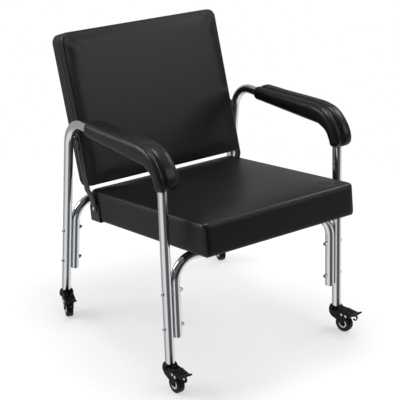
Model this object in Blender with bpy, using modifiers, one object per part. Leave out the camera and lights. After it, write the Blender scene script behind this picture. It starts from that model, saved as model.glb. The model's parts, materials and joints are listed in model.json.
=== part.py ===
"""Reclining hairdressing chair for a wash basin, in metres, +Z up.

The chair faces -Y. Left is -X and right is +X, as seen by someone facing it. Two bent side tubes, joined by
an arch at the front and one at the rear, stand on braked casters. The back hangs on studs between the rear
legs. Its straps run down to a hinge at the rear of the seat, so leaning back pushes the seat forward, and
the runners under the seat glide over the front arch.
"""

import math

import bmesh
import bpy
from mathutils import Matrix, Vector

OBJECT_NAME = "hairdressing_chair"

# Clearance between pieces that touch or turn in each other
CLEARANCE = 0.0003

# Tube frame
TUBE_DIAMETER = 0.0254
TUBE_WALL = 0.0015
FRAME_WIDTH = 0.570
FOOT_SPACING = 0.5328
LEG_BOTTOM = 0.072
FRONT_SPLAY = math.radians(3.24)
REAR_SPLAY = math.radians(6.14)
RAIL_HEIGHT = 0.6044
SIDE_BEND = 0.076
ARCH_BELOW_PIVOT = 0.198
ARCH_HEIGHT = 0.210
ARCH_BEND = 0.060
BEND_STEPS = 6
TUBE_RESOLUTION = 4

# Arch bolts and cap nuts: the bolts are placed up from the arch's lower ends
ARCH_BOLT_LOWER = 0.029
ARCH_BOLT_UPPER = 0.125
BOLT_DIAMETER = 0.006
BOLT_HEAD_DIAMETER = 0.012
BOLT_HEAD_TOP_DIAMETER = 0.0072
BOLT_HEAD_HEIGHT = 0.004
CAP_NUT_DIAMETER = 0.0115
CAP_NUT_HEX_HEIGHT = 0.005
CAP_NUT_DOME_DIAMETER = 0.0088
CAP_NUT_DOME_HEIGHT = 0.0087
CAP_NUT_TOP_DIAMETER = 0.0046
CAP_NUT_HEIGHT = 0.0105
CAP_NUT_THREAD = 0.007

# Arm pads: the side outline is given ahead of and above the corner where the front leg meets the rail
PAD_WIDTH = 0.058
PAD_EDGE_RADIUS = 0.011
PAD_LENGTH = 0.365
PAD_REAR_ABOVE = 0.0265
PAD_MIDDLE_ABOVE = 0.0365
PAD_FRONT_ABOVE = 0.0415
PAD_BELOW = 0.0104
PAD_SHOULDER = (0.019, 0.0311)
PAD_NOSE = (-0.0127, 0.0076)
PAD_FRONT = (-0.0317, -0.0244)
PAD_TOE = (-0.0332, -0.0444)
PAD_TOE_END = (-0.0257, -0.0584)
PAD_HEEL_END = (-0.0067, -0.0634)
PAD_HEEL = (0.0098, -0.0314)
PAD_KINK = 0.0463
PAD_REAR_ROUND = 0.009
PAD_REAR_BULGE = 0.003
PAD_RESOLUTION = 3

# Back: it hangs on studs in the rear legs, and its straps run parallel to it
PIVOT_BELOW_RAIL = 0.0564
BACK_LEAN = math.radians(18.55)
BACK_TO_LEG = 0.0145
BACK_HEIGHT = 0.422
BACK_THICKNESS = 0.0635
BACK_BELOW_PIVOT = 0.139
BACK_AHEAD_OF_PIVOT = 0.0216
BACK_TOP_CORNER = 0.024
BACK_BOTTOM_CORNER = 0.012
BACK_EDGE_RADIUS = 0.0075
BACK_CROWN = 0.007
BACK_DRAW_IN = 0.002
BACK_BOARD_THICKNESS = 0.012
BACK_BOARD_MARGIN = 0.0144
BACK_BATTEN_WIDTH = 0.020
BACK_FOAM = 0.014

# Straps, studs and hinge bolts
STRAP_LENGTH = 0.205
STRAP_WIDTH = 0.025
STRAP_THICKNESS = 0.004
STRAP_JOGGLE_START = 0.150
STRAP_JOGGLE_END = 0.172
STRAP_SCREW_DROPS = (0.035, 0.100)
SCREW_DIAMETER = 0.004
SCREW_HEAD_DIAMETER = 0.008
SCREW_HEAD_TOP_DIAMETER = 0.0048
SCREW_HEAD_HEIGHT = 0.0022
SCREW_LENGTH = 0.022
STUD_DIAMETER = 0.008
STUD_COLLAR_DIAMETER = 0.016
STUD_DEPTH_IN_LEG = 0.008
HINGE_BOLT_DIAMETER = 0.008
HINGE_HEAD_DIAMETER = 0.014
HINGE_HEAD_TOP_DIAMETER = 0.009
HINGE_HEAD_HEIGHT = 0.0045

# Seat
SEAT_INSIDE_BACK = 0.0128
SEAT_DEPTH = 0.548
SEAT_THICKNESS = 0.0894
SEAT_TILT = math.radians(8.37)
SEAT_PIVOT_BEHIND_FRONT = 0.5203
SEAT_PIVOT_ABOVE_BASE = 0.0364
SEAT_CORNER = 0.010
SEAT_EDGE_RADIUS = 0.0075
SEAT_CROWN = 0.007
SEAT_DRAW_IN = 0.002
SEAT_BOARD_THICKNESS = 0.012
SEAT_BOARD_MARGIN = 0.012
BRACKET_THICKNESS = 0.003
BRACKET_LENGTH = 0.046
BRACKET_AHEAD_OF_PIVOT = 0.018
BRACKET_ABOVE_PIVOT = 0.013
BRACKET_FLANGE = 0.030

# Seat glide: the runner follows the front arch as the back reclines
RECLINE = math.radians(25.0)
SEAT_FOLLOW = 1.25
RUNNER_WIDTH = 0.030
RUNNER_INSIDE_SEAT = 0.095
RUNNER_LIP = 0.006
RUNNER_LIP_ANGLE = math.radians(60.0)
RUNNER_STEPS = 10
LIP_STEPS = 3

# Casters: swivel turns from straight ahead, positive towards +X at the front
CASTER_TURNS = {"front_left": 0.0, "front_right": 12.0, "rear_left": -20.0, "rear_right": 163.0}
WHEEL_DIAMETER = 0.050
WHEEL_WIDTH = 0.020
WHEEL_SIDES = 20
WHEEL_SHOULDER = 0.003
WHEEL_DISH = 0.0015
WHEEL_RING_OUTER = 0.0152
WHEEL_RING_INNER = 0.0095
TRAIL = 0.030
AXLE_DIAMETER = 0.006
AXLE_HEAD_DIAMETER = 0.010
AXLE_HEAD_TOP_DIAMETER = 0.006
AXLE_HEAD_HEIGHT = 0.0016
CHEEK_THICKNESS = 0.0028
CHEEK_GAP = 0.0007
CHEEK_END_RADIUS = 0.009
CHEEK_END_START = math.radians(20.0)
CHEEK_END_STOP = math.radians(-200.0)
CHEEK_REAR = 0.0185
CHEEK_WAIST = (0.0135, 0.046)
CHEEK_FRONT = 0.0205
CHEEK_FRONT_HEIGHT = 0.0475
HOOD_DIAMETER = 0.043
HOOD_CUP_DIAMETER = 0.035
HOOD_BOTTOM = 0.0535
HOOD_FLOOR = 0.0655
HOOD_TOP = 0.0755
HOOD_ROUND = 0.003
STEM_DIAMETER = 0.008
STEM_FLANGE_DIAMETER = 0.020
STEM_COLLAR = 0.002
STEM_PLUG = 0.030
STEM_END_ABOVE_HOOD = 0.001
PEDAL_PIN_AHEAD = 0.0145
PEDAL_PIN_HEIGHT = 0.0548
PEDAL_PIN_DIAMETER = 0.005
PEDAL_BARREL_DIAMETER = 0.009
PEDAL_WIDTH = 0.033
PEDAL_START = 0.0165
PEDAL_REACH = 0.033
PEDAL_THICKNESS = 0.0035
PEDAL_RISE = 0.006
PEDAL_TIP_RISE = 0.0062
PEDAL_SHOE = 0.0065
PEDAL_SHOE_WIDTH = 0.006
PEDAL_NECK_INSET = 0.001
PEDAL_NECK_LAP = 0.0025
PEDAL_NECK_THICKNESS = 0.0025
PEDAL_NECK_ROOT = 0.007

# How finely round and soft forms are cut up
ROUND_SIDES = 12
SOFT_CUTS = 9
EDGE_SEGMENTS = 2
SHARP_EDGE = math.radians(50.0)
SMOOTH_ANGLE = math.radians(40.0)

# Finishes: linear colour, roughness and metallic value
FINISHES = {
    "chromed_steel": ((0.62, 0.63, 0.65), 0.12, 1.0),
    "black_vinyl": ((0.012, 0.012, 0.013), 0.42, 0.0),
    "plywood": ((0.42, 0.29, 0.16), 0.65, 0.0),
    "black_steel": ((0.015, 0.015, 0.016), 0.38, 0.6),
    "zinc_steel": ((0.55, 0.56, 0.58), 0.28, 1.0),
    "black_plastic": ((0.014, 0.014, 0.015), 0.45, 0.0),
    "white_nylon": ((0.70, 0.69, 0.65), 0.50, 0.0),
    "caster_tread": ((0.016, 0.016, 0.017), 0.60, 0.0),
}

# Sizes that follow from the ones above
TUBE_RADIUS = TUBE_DIAMETER / 2
PIVOT_HEIGHT = RAIL_HEIGHT - PIVOT_BELOW_RAIL
ARCH_TOP = PIVOT_HEIGHT - ARCH_BELOW_PIVOT
ARCH_BOTTOM = ARCH_TOP - ARCH_HEIGHT
LEG_X = FRAME_WIDTH / 2
LEG_INNER_X = LEG_X - TUBE_RADIUS
TUBE_SIDES = 2 * (TUBE_RESOLUTION + 2)
PLUG_RADIUS = (TUBE_RADIUS - TUBE_WALL) * math.cos(math.pi / TUBE_SIDES) - CLEARANCE
ARCH_X = LEG_X - TUBE_DIAMETER - CLEARANCE
BACK_HALF = LEG_INNER_X - BACK_TO_LEG
SEAT_HALF = BACK_HALF - SEAT_INSIDE_BACK
RUNNER_OFFSET = SEAT_HALF - RUNNER_INSIDE_SEAT
STRAP_INNER_X = BACK_HALF + CLEARANCE
STRAP_OUTER_X = STRAP_INNER_X + STRAP_THICKNESS
BRACKET_INNER_X = SEAT_HALF + CLEARANCE
BRACKET_OUTER_X = BRACKET_INNER_X + BRACKET_THICKNESS
STRAP_FOOT_INNER_X = BRACKET_OUTER_X + CLEARANCE
STRAP_FOOT_OUTER_X = STRAP_FOOT_INNER_X + STRAP_THICKNESS
WHEEL_RADIUS = WHEEL_DIAMETER / 2
CHEEK_INNER_X = WHEEL_WIDTH / 2 + CHEEK_GAP
CHEEK_OUTER_X = CHEEK_INNER_X + CHEEK_THICKNESS

SIDES = (("left", -1), ("right", 1))
ENDS = (("front", -1), ("rear", 1))

# Axis changes: an outline drawn in XY becomes one in the side plane YZ, or in the front plane XZ
SIDE_PLANE = Matrix(((0, 0, 1, 0), (1, 0, 0, 0), (0, 1, 0, 0), (0, 0, 0, 1)))
FRONT_PLANE = Matrix(((1, 0, 0, 0), (0, 0, -1, 0), (0, 1, 0, 0), (0, 0, 0, 1)))
ALONG_X = Matrix.Rotation(math.pi / 2, 4, "Y")


# Scene, finishes and helpers that make one mesh each


def clear_scene():
    for obj in list(bpy.data.objects):
        bpy.data.objects.remove(obj)
    for collection in list(bpy.data.collections):
        bpy.data.collections.remove(collection)


def make_collection(name):
    collection = bpy.data.collections.new(name)
    bpy.context.scene.collection.children.link(collection)
    return collection


def make_finish(name):
    colour, roughness, metallic = FINISHES[name]
    finish = bpy.data.materials.new(name)
    finish.use_nodes = True
    shader = finish.node_tree.nodes["Principled BSDF"]
    shader.inputs["Base Color"].default_value = (*colour, 1.0)
    shader.inputs["Roughness"].default_value = roughness
    shader.inputs["Metallic"].default_value = metallic
    finish.diffuse_color = (*colour, 1.0)
    return finish


def add_empty(name, parent, location=(0, 0, 0), rotation=(0, 0, 0)):
    empty = bpy.data.objects.new(name, None)
    empty.location = location
    empty.rotation_euler = rotation
    empty.parent = parent
    PARTS.objects.link(empty)
    return empty


def add_part(name, mesh, finish, parent, smooth=False):
    mesh.name = name
    if smooth:
        mesh.shade_smooth()
        mesh.set_sharp_from_angle(angle=SMOOTH_ANGLE)
    part = bpy.data.objects.new(name, mesh)
    part.data.materials.append(FINISH[finish])
    part.parent = parent
    PARTS.objects.link(part)
    return part


def add_cutter(name, mesh, parent):
    cutter = bpy.data.objects.new(name, mesh)
    cutter.parent = parent
    cutter.hide_render = True
    cutter.display_type = "WIRE"
    CUTTERS.objects.link(cutter)
    return cutter


def combine(part, other, operation):
    modifier = part.modifiers.new(f"{operation.lower()} {other.name}", "BOOLEAN")
    modifier.operation = operation
    modifier.solver = "EXACT"
    modifier.object = other


def cut(part, cutter):
    combine(part, cutter, "DIFFERENCE")


def join(part, other):
    combine(part, other, "UNION")


def mesh_of(edit):
    mesh = bpy.data.meshes.new("mesh")
    edit.to_mesh(mesh)
    edit.free()
    return mesh


def box(low, high):
    """A box between two corners."""
    low = Vector(low)
    high = Vector(high)
    edit = bmesh.new()
    bmesh.ops.create_cube(edit, size=1.0)
    bmesh.ops.scale(edit, vec=high - low, verts=edit.verts)
    bmesh.ops.translate(edit, vec=(low + high) / 2, verts=edit.verts)
    return mesh_of(edit)


def rod(start, end, radius, sides=ROUND_SIDES):
    """A round bar between two points, with its flats where a turned piece or a tube has its corners."""
    start = Vector(start)
    end = Vector(end)
    turn = (end - start).to_track_quat("Z", "Y").to_matrix().to_4x4()
    turn = turn @ Matrix.Rotation(math.pi / sides, 4, "Z")
    edit = bmesh.new()
    bmesh.ops.create_cone(
        edit, cap_ends=True, segments=sides, radius1=radius, radius2=radius, depth=(end - start).length
    )
    bmesh.ops.transform(edit, matrix=Matrix.Translation((start + end) / 2) @ turn, verts=edit.verts)
    return mesh_of(edit)


def mesh_from_curve(curve):
    """The curve's evaluated mesh, with its loose caps welded on."""
    helper = bpy.data.objects.new("curve", curve)
    bpy.context.scene.collection.objects.link(helper)
    graph = bpy.context.evaluated_depsgraph_get()
    mesh = bpy.data.meshes.new_from_object(helper.evaluated_get(graph))
    bpy.data.objects.remove(helper)
    edit = bmesh.new()
    edit.from_mesh(mesh)
    bmesh.ops.remove_doubles(edit, verts=edit.verts, dist=1e-6)
    bmesh.ops.recalc_face_normals(edit, faces=edit.faces)
    edit.to_mesh(mesh)
    edit.free()
    return mesh


def tube(points, radius):
    """A closed bar of round section along a path."""
    curve = bpy.data.curves.new("tube", "CURVE")
    curve.dimensions = "3D"
    curve.bevel_depth = radius
    curve.bevel_resolution = TUBE_RESOLUTION
    curve.use_fill_caps = True
    spline = curve.splines.new("POLY")
    spline.points.add(len(points) - 1)
    for point, place in zip(spline.points, points):
        point.co = (*place, 1.0)
    return mesh_from_curve(curve)


def plate(outline, thickness, plane=SIDE_PLANE, middle=0.0):
    """A flat outline with a thickness, centred at `middle` across its plane."""
    curve = bpy.data.curves.new("outline", "CURVE")
    curve.dimensions = "2D"
    curve.fill_mode = "BOTH"
    curve.extrude = thickness / 2
    spline = curve.splines.new("POLY")
    spline.points.add(len(outline) - 1)
    for point, (across, up) in zip(spline.points, outline):
        point.co = (across, up, 0.0, 1.0)
    spline.use_cyclic_u = True
    mesh = mesh_from_curve(curve)
    mesh.transform(plane @ Matrix.Translation((0, 0, middle)))
    return mesh


def turned(part, sides, placing):
    """Makes the part's profile a turned solid about its own Z, then puts that axis where `placing` says."""
    screw = part.modifiers.new("turned", "SCREW")
    screw.axis = "Z"
    screw.steps = sides
    screw.render_steps = sides
    screw.use_merge_vertices = True
    screw.merge_threshold = 1e-5
    screw.use_smooth_shade = True
    part.matrix_local = placing
    return part


def profile(points, closed=False):
    """An edge profile in XZ, from the top down its outer side."""
    edit = bmesh.new()
    verts = [edit.verts.new((radius, 0.0, height)) for radius, height in points]
    for first, second in zip(verts, verts[1:]):
        edit.edges.new((first, second))
    if closed:
        edit.edges.new((verts[-1], verts[0]))
    return mesh_of(edit)


def arc(centre, radius, start, end, steps):
    """Points of an arc, from one angle to another."""
    angles = [start + (end - start) * step / steps for step in range(steps + 1)]
    return [(centre[0] + radius * math.cos(a), centre[1] + radius * math.sin(a)) for a in angles]


def bent_path(corners, radius):
    """A path through corners, with a bend of the given radius at each inner one."""
    points = [Vector(corners[0])]
    for before, corner, after in zip(corners, corners[1:], corners[2:]):
        corner = Vector(corner)
        back = (Vector(before) - corner).normalized()
        on = (Vector(after) - corner).normalized()
        half = back.angle(on) / 2
        centre = corner + (back + on).normalized() * radius / math.sin(half)
        first = corner + back * radius / math.tan(half) - centre
        last = corner + on * radius / math.tan(half) - centre
        for step in range(BEND_STEPS + 1):
            share = step / BEND_STEPS
            points.append(centre + first.slerp(last, share).normalized() * radius)
    points.append(Vector(corners[-1]))
    return points


def extended(points, extra):
    """The same path, run past both its ends."""
    first = points[0] + (points[0] - points[1]).normalized() * extra
    last = points[-1] + (points[-1] - points[-2]).normalized() * extra
    return [first, *points, last]


def soft_box(low, high, corners, crown, draw_in):
    """A cushion's box: rounded corners, drawn-in sides and a crown on the face named by `crown`.

    `corners` gives the axis that the corners run along and their radius at the low and the high end of Z
    or Y. `crown` gives the axis, the side and the height of the swelling.
    """
    low = Vector(low)
    high = Vector(high)
    half = (high - low) / 2
    middle = (low + high) / 2
    run, low_radius, high_radius = corners
    across = [axis for axis in range(3) if axis != run]
    crown_axis, crown_side, crown_height = crown
    edit = bmesh.new()
    bmesh.ops.create_cube(edit, size=2.0)
    bmesh.ops.subdivide_edges(edit, edges=edit.edges, cuts=SOFT_CUTS, use_grid_fill=True)
    for vert in edit.verts:
        unit = Vector([math.sin(value * math.pi / 2) for value in vert.co])
        place = Vector([unit[axis] * half[axis] for axis in range(3)])
        radius = high_radius if unit[across[1]] > 0 else low_radius
        over = [abs(place[axis]) - (half[axis] - radius) for axis in across]
        if min(over) > 0:
            shrink = max(over) / math.hypot(*over)
            for axis, extra in zip(across, over):
                place[axis] = math.copysign(half[axis] - radius + extra * shrink, place[axis])
        else:
            for axis, other in (across, across[::-1]):
                place[axis] -= draw_in * unit[axis] * (1 - unit[other] ** 2) * abs(unit[axis]) ** 3
        if unit[crown_axis] * crown_side > 0:
            swell = (1 - unit[across[0]] ** 2) * (1 - unit[across[1]] ** 2)
            place[crown_axis] += crown_side * crown_height * swell * abs(unit[crown_axis])
        vert.co = middle + place
    return mesh_of(edit)


def round_edges(part, radius):
    bevel = part.modifiers.new("rounded edges", "BEVEL")
    bevel.width = radius
    bevel.segments = EDGE_SEGMENTS
    bevel.limit_method = "ANGLE"
    bevel.angle_limit = SHARP_EDGE


# Where the main lines of the chair run


def leg_y(end, height):
    """The place of a leg's centre line at a height: end is -1 for the front and 1 for the rear."""
    splay = FRONT_SPLAY if end < 0 else REAR_SPLAY
    return end * (FOOT_SPACING / 2 - math.tan(splay) * (height - LEG_BOTTOM))


def strap_foot(recline):
    """The seat hinge's place for a recline angle, in Y and Z."""
    lean = BACK_LEAN + recline
    return (
        leg_y(1, PIVOT_HEIGHT) - STRAP_LENGTH * math.sin(lean),
        PIVOT_HEIGHT - STRAP_LENGTH * math.cos(lean),
    )


def arch_in_seat(recline):
    """The front arch's centre, measured from the seat hinge in the seat's own tilted axes."""
    hinge_y, hinge_z = strap_foot(recline)
    tilt = SEAT_TILT - (SEAT_FOLLOW - 1) * recline
    ahead = leg_y(-1, ARCH_TOP) - hinge_y
    above = ARCH_TOP - hinge_z
    return Vector((
        ahead * math.cos(tilt) - above * math.sin(tilt),
        ahead * math.sin(tilt) + above * math.cos(tilt),
    ))


# Tube frame


def side_path(side):
    x = side * LEG_X
    corners = [
        (x, leg_y(1, LEG_BOTTOM), LEG_BOTTOM),
        (x, leg_y(1, RAIL_HEIGHT), RAIL_HEIGHT),
        (x, leg_y(-1, RAIL_HEIGHT), RAIL_HEIGHT),
        (x, leg_y(-1, LEG_BOTTOM), LEG_BOTTOM),
    ]
    return bent_path(corners, SIDE_BEND)


def arch_path(end):
    corners = [
        (-ARCH_X, leg_y(end, ARCH_BOTTOM), ARCH_BOTTOM),
        (-ARCH_X, leg_y(end, ARCH_TOP), ARCH_TOP),
        (ARCH_X, leg_y(end, ARCH_TOP), ARCH_TOP),
        (ARCH_X, leg_y(end, ARCH_BOTTOM), ARCH_BOTTOM),
    ]
    return bent_path(corners, ARCH_BEND)


def add_tube(name, path, parent):
    part = add_part(name, tube(path, TUBE_RADIUS), "chromed_steel", parent, smooth=True)
    inside = tube(extended(path, TUBE_DIAMETER), TUBE_RADIUS - TUBE_WALL)
    cut(part, add_cutter(f"{name}_inside", inside, parent))
    return part


def add_frame(frame):
    sides = {name: add_tube(f"side_frame_{name}", side_path(side), frame) for name, side in SIDES}
    arches = {name: add_tube(f"{name}_arch", arch_path(end), frame) for name, end in ENDS}
    for end_name, end in ENDS:
        for side_name, side in SIDES:
            for level, above in (("lower", ARCH_BOLT_LOWER), ("upper", ARCH_BOLT_UPPER)):
                height = ARCH_BOTTOM + above
                place = f"{end_name}_{side_name}_{level}"
                hole = add_arch_bolt(place, side, leg_y(end, height), height, frame)
                cut(sides[side_name], hole)
                cut(arches[end_name], hole)
    for side_name, side in SIDES:
        cut(sides[side_name], add_pivot_stud(side_name, side, frame))


def add_arch_bolt(place, side, y, z, frame):
    """One bolt and its cap nut. It returns the cutter for the holes in the two tubes."""
    radius = BOLT_DIAMETER / 2
    head_x = LEG_X + TUBE_RADIUS + CLEARANCE
    nut_x = ARCH_X - TUBE_RADIUS - CLEARANCE
    tip_x = nut_x - CAP_NUT_THREAD + CLEARANCE
    along = Matrix.Translation((side * head_x, y, z)) @ Matrix.Rotation(side * math.pi / 2, 4, "Y")
    bolt = [
        (0.0, BOLT_HEAD_HEIGHT),
        (BOLT_HEAD_TOP_DIAMETER / 2, BOLT_HEAD_HEIGHT),
        (BOLT_HEAD_DIAMETER / 2, BOLT_HEAD_HEIGHT / 2),
        (BOLT_HEAD_DIAMETER / 2, 0.0),
        (radius, 0.0),
        (radius, tip_x - head_x),
        (0.0, tip_x - head_x),
    ]
    turned(add_part(f"arch_bolt_{place}", profile(bolt), "zinc_steel", frame), ROUND_SIDES, along)
    bore = radius + CLEARANCE
    nut = [
        (0.0, -CAP_NUT_THREAD),
        (bore, -CAP_NUT_THREAD),
        (bore, 0.0),
        (CAP_NUT_DIAMETER / 2, 0.0),
        (CAP_NUT_DIAMETER / 2, -CAP_NUT_HEX_HEIGHT),
        (CAP_NUT_DOME_DIAMETER / 2, -CAP_NUT_DOME_HEIGHT),
        (CAP_NUT_TOP_DIAMETER / 2, -CAP_NUT_HEIGHT),
        (0.0, -CAP_NUT_HEIGHT),
    ]
    inward = Matrix.Translation((side * nut_x, y, z)) @ Matrix.Rotation(side * math.pi / 2, 4, "Y")
    turned(add_part(f"arch_cap_nut_{place}", profile(nut), "zinc_steel", frame), ROUND_SIDES, inward)
    start = (side * (nut_x - CLEARANCE), y, z)
    end = (side * (head_x + CLEARANCE), y, z)
    return add_cutter(f"arch_bolt_hole_{place}", rod(start, end, bore), frame)


def add_pivot_stud(side_name, side, frame):
    """The stud that carries the back. It returns the cutter for its hole in the leg."""
    y = leg_y(1, PIVOT_HEIGHT)
    inner = STRAP_INNER_X + CLEARANCE
    collar = STRAP_OUTER_X + CLEARANCE
    seat = LEG_INNER_X - CLEARANCE
    end = LEG_INNER_X + STUD_DEPTH_IN_LEG
    radius = STUD_DIAMETER / 2
    stud = [
        (0.0, end),
        (radius, end),
        (radius, seat),
        (STUD_COLLAR_DIAMETER / 2, seat),
        (STUD_COLLAR_DIAMETER / 2, collar),
        (radius, collar),
        (radius, inner),
        (0.0, inner),
    ]
    placing = Matrix.Translation((0, y, PIVOT_HEIGHT)) @ Matrix.Rotation(side * math.pi / 2, 4, "Y")
    turned(add_part(f"pivot_stud_{side_name}", profile(stud), "zinc_steel", frame), ROUND_SIDES, placing)
    start = (side * (LEG_INNER_X - TUBE_RADIUS), y, PIVOT_HEIGHT)
    stop = (side * LEG_X, y, PIVOT_HEIGHT)
    return add_cutter(f"stud_hole_{side_name}", rod(start, stop, radius + CLEARANCE), frame)


# Arm pads


def pad_outline():
    """The pad's side outline in Y and Z, with a mark on the points where it turns sharply."""
    corner_y = leg_y(-1, RAIL_HEIGHT)
    rear = PAD_LENGTH + PAD_FRONT[0]
    relative = [
        (rear - PAD_REAR_ROUND, PAD_REAR_ABOVE, True),
        (rear / 2, PAD_MIDDLE_ABOVE, False),
        (rear / 4, PAD_FRONT_ABOVE, False),
        (*PAD_SHOULDER, False),
        (*PAD_NOSE, False),
        (*PAD_FRONT, False),
        (*PAD_TOE, False),
        (*PAD_TOE_END, False),
        (*PAD_HEEL_END, True),
        (*PAD_HEEL, False),
        (PAD_KINK, -PAD_BELOW, True),
        (rear, -PAD_BELOW, True),
        (rear + PAD_REAR_BULGE, (PAD_REAR_ABOVE - PAD_BELOW) / 2, False),
    ]
    return [(corner_y + ahead, RAIL_HEIGHT + above, sharp) for ahead, above, sharp in relative]


def add_arm_pads(frame):
    for side_name, side in SIDES:
        curve = bpy.data.curves.new("pad", "CURVE")
        curve.dimensions = "2D"
        curve.fill_mode = "BOTH"
        curve.resolution_u = PAD_RESOLUTION
        curve.bevel_depth = PAD_EDGE_RADIUS
        curve.bevel_resolution = 1
        curve.offset = -PAD_EDGE_RADIUS
        curve.extrude = PAD_WIDTH / 2 - PAD_EDGE_RADIUS
        outline = pad_outline()
        spline = curve.splines.new("BEZIER")
        spline.bezier_points.add(len(outline) - 1)
        for point, (y, z, sharp) in zip(spline.bezier_points, outline):
            point.co = (y, z, 0.0)
            point.handle_left_type = "VECTOR" if sharp else "AUTO"
            point.handle_right_type = "VECTOR" if sharp else "AUTO"
        spline.use_cyclic_u = True
        mesh = mesh_from_curve(curve)
        mesh.transform(Matrix.Translation((side * LEG_X, 0, 0)) @ SIDE_PLANE)
        pad = add_part(f"arm_pad_{side_name}", mesh, "black_vinyl", frame, smooth=True)
        rail = tube(side_path(side), TUBE_RADIUS + CLEARANCE)
        cut(pad, add_cutter(f"arm_pad_groove_{side_name}", rail, frame))


# Back, built upright about the stud axis


def add_back(back):
    front = -BACK_AHEAD_OF_PIVOT
    rear = front + BACK_THICKNESS
    bottom = -BACK_BELOW_PIVOT
    top = bottom + BACK_HEIGHT
    low = (-BACK_HALF, front, bottom)
    high = (BACK_HALF, rear, top)
    corners = (1, BACK_BOTTOM_CORNER, BACK_TOP_CORNER)
    cage = soft_box(low, high, corners, (1, -1, BACK_CROWN), BACK_DRAW_IN)
    cushion = add_part("back_cushion", cage, "black_vinyl", back, smooth=True)
    round_edges(cushion, BACK_EDGE_RADIUS)

    board_low = bottom + BACK_BOARD_MARGIN
    board_high = top - BACK_BOARD_MARGIN
    panel = back_board(0.0, board_low, board_high, rear - CLEARANCE)
    board = add_part("back_board", panel, "plywood", back)
    pocket = back_board(CLEARANCE, board_low, board_high, rear + BACK_BOARD_THICKNESS)
    cut(cushion, add_cutter("back_board_pocket", pocket, back))

    for side_name, side in SIDES:
        strap = add_strap(side_name, side, back)
        for level, drop in zip(("upper", "lower"), STRAP_SCREW_DROPS):
            hole = add_strap_screw(f"{side_name}_{level}", side, drop, back)
            for drilled in (strap, cushion, board):
                cut(drilled, hole)


def back_board(extra, low, high, behind):
    """The panel with its two side battens, or the pocket for it when `extra` is a clearance."""
    half = BACK_HALF - BACK_BOARD_MARGIN
    panel = BACK_THICKNESS - BACK_AHEAD_OF_PIVOT - CLEARANCE - BACK_BOARD_THICKNESS - extra
    batten = BACK_FOAM - BACK_AHEAD_OF_PIVOT - extra
    outer = half + extra
    inner = half - BACK_BATTEN_WIDTH - extra
    outline = [
        (-outer, behind),
        (-outer, batten),
        (-inner, batten),
        (-inner, panel),
        (inner, panel),
        (inner, batten),
        (outer, batten),
        (outer, behind),
    ]
    return plate(outline, high - low + 2 * extra, Matrix.Identity(4), (low + high) / 2)


def add_strap(side_name, side, back):
    """A flat bar down the side of the back, set inwards at its foot to meet the seat's bracket."""
    ends = STRAP_WIDTH / 2
    edge = [
        (STRAP_OUTER_X, ends),
        (STRAP_INNER_X, ends),
        (STRAP_INNER_X, -STRAP_JOGGLE_START),
        (STRAP_FOOT_INNER_X, -STRAP_JOGGLE_END),
        (STRAP_FOOT_INNER_X, -STRAP_LENGTH - ends),
        (STRAP_FOOT_OUTER_X, -STRAP_LENGTH - ends),
        (STRAP_FOOT_OUTER_X, -STRAP_JOGGLE_END),
        (STRAP_OUTER_X, -STRAP_JOGGLE_START),
    ]
    bar = plate([(side * x, z) for x, z in edge], STRAP_WIDTH, FRONT_PLANE)
    strap = add_part(f"back_strap_{side_name}", bar, "black_steel", back)
    head = arc((0.0, 0.0), ends, 0.0, math.pi, ROUND_SIDES // 2)
    foot = arc((0.0, -STRAP_LENGTH), ends, math.pi, 2 * math.pi, ROUND_SIDES // 2)
    round_ends = plate(head + foot, BACK_HALF, SIDE_PLANE, side * BACK_HALF)
    combine(strap, add_cutter(f"strap_ends_{side_name}", round_ends, back), "INTERSECT")
    for name, drop, diameter in (("stud", 0.0, STUD_DIAMETER), ("hinge", STRAP_LENGTH, HINGE_BOLT_DIAMETER)):
        start = (side * (SEAT_HALF - STRAP_THICKNESS), 0, -drop)
        end = (side * LEG_X, 0, -drop)
        hole = rod(start, end, diameter / 2 + CLEARANCE)
        cut(strap, add_cutter(f"strap_{name}_hole_{side_name}", hole, back))
    return strap


def add_strap_screw(place, side, drop, back):
    """One screw through the strap into the batten. It returns the cutter for its hole."""
    head = STRAP_OUTER_X + CLEARANCE
    radius = SCREW_DIAMETER / 2
    screw = [
        (0.0, head + SCREW_HEAD_HEIGHT),
        (SCREW_HEAD_TOP_DIAMETER / 2, head + SCREW_HEAD_HEIGHT),
        (SCREW_HEAD_DIAMETER / 2, head),
        (radius, head),
        (radius, head - SCREW_LENGTH),
        (0.0, head - SCREW_LENGTH),
    ]
    placing = Matrix.Translation((0, 0, -drop)) @ Matrix.Rotation(side * math.pi / 2, 4, "Y")
    turned(add_part(f"strap_screw_{place}", profile(screw), "black_steel", back), ROUND_SIDES, placing)
    start = (side * (head - SCREW_LENGTH - CLEARANCE), 0, -drop)
    end = (side * (head + CLEARANCE), 0, -drop)
    return add_cutter(f"strap_screw_hole_{place}", rod(start, end, radius + CLEARANCE), back)


# Seat, built level about the hinge axis at its rear


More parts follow.
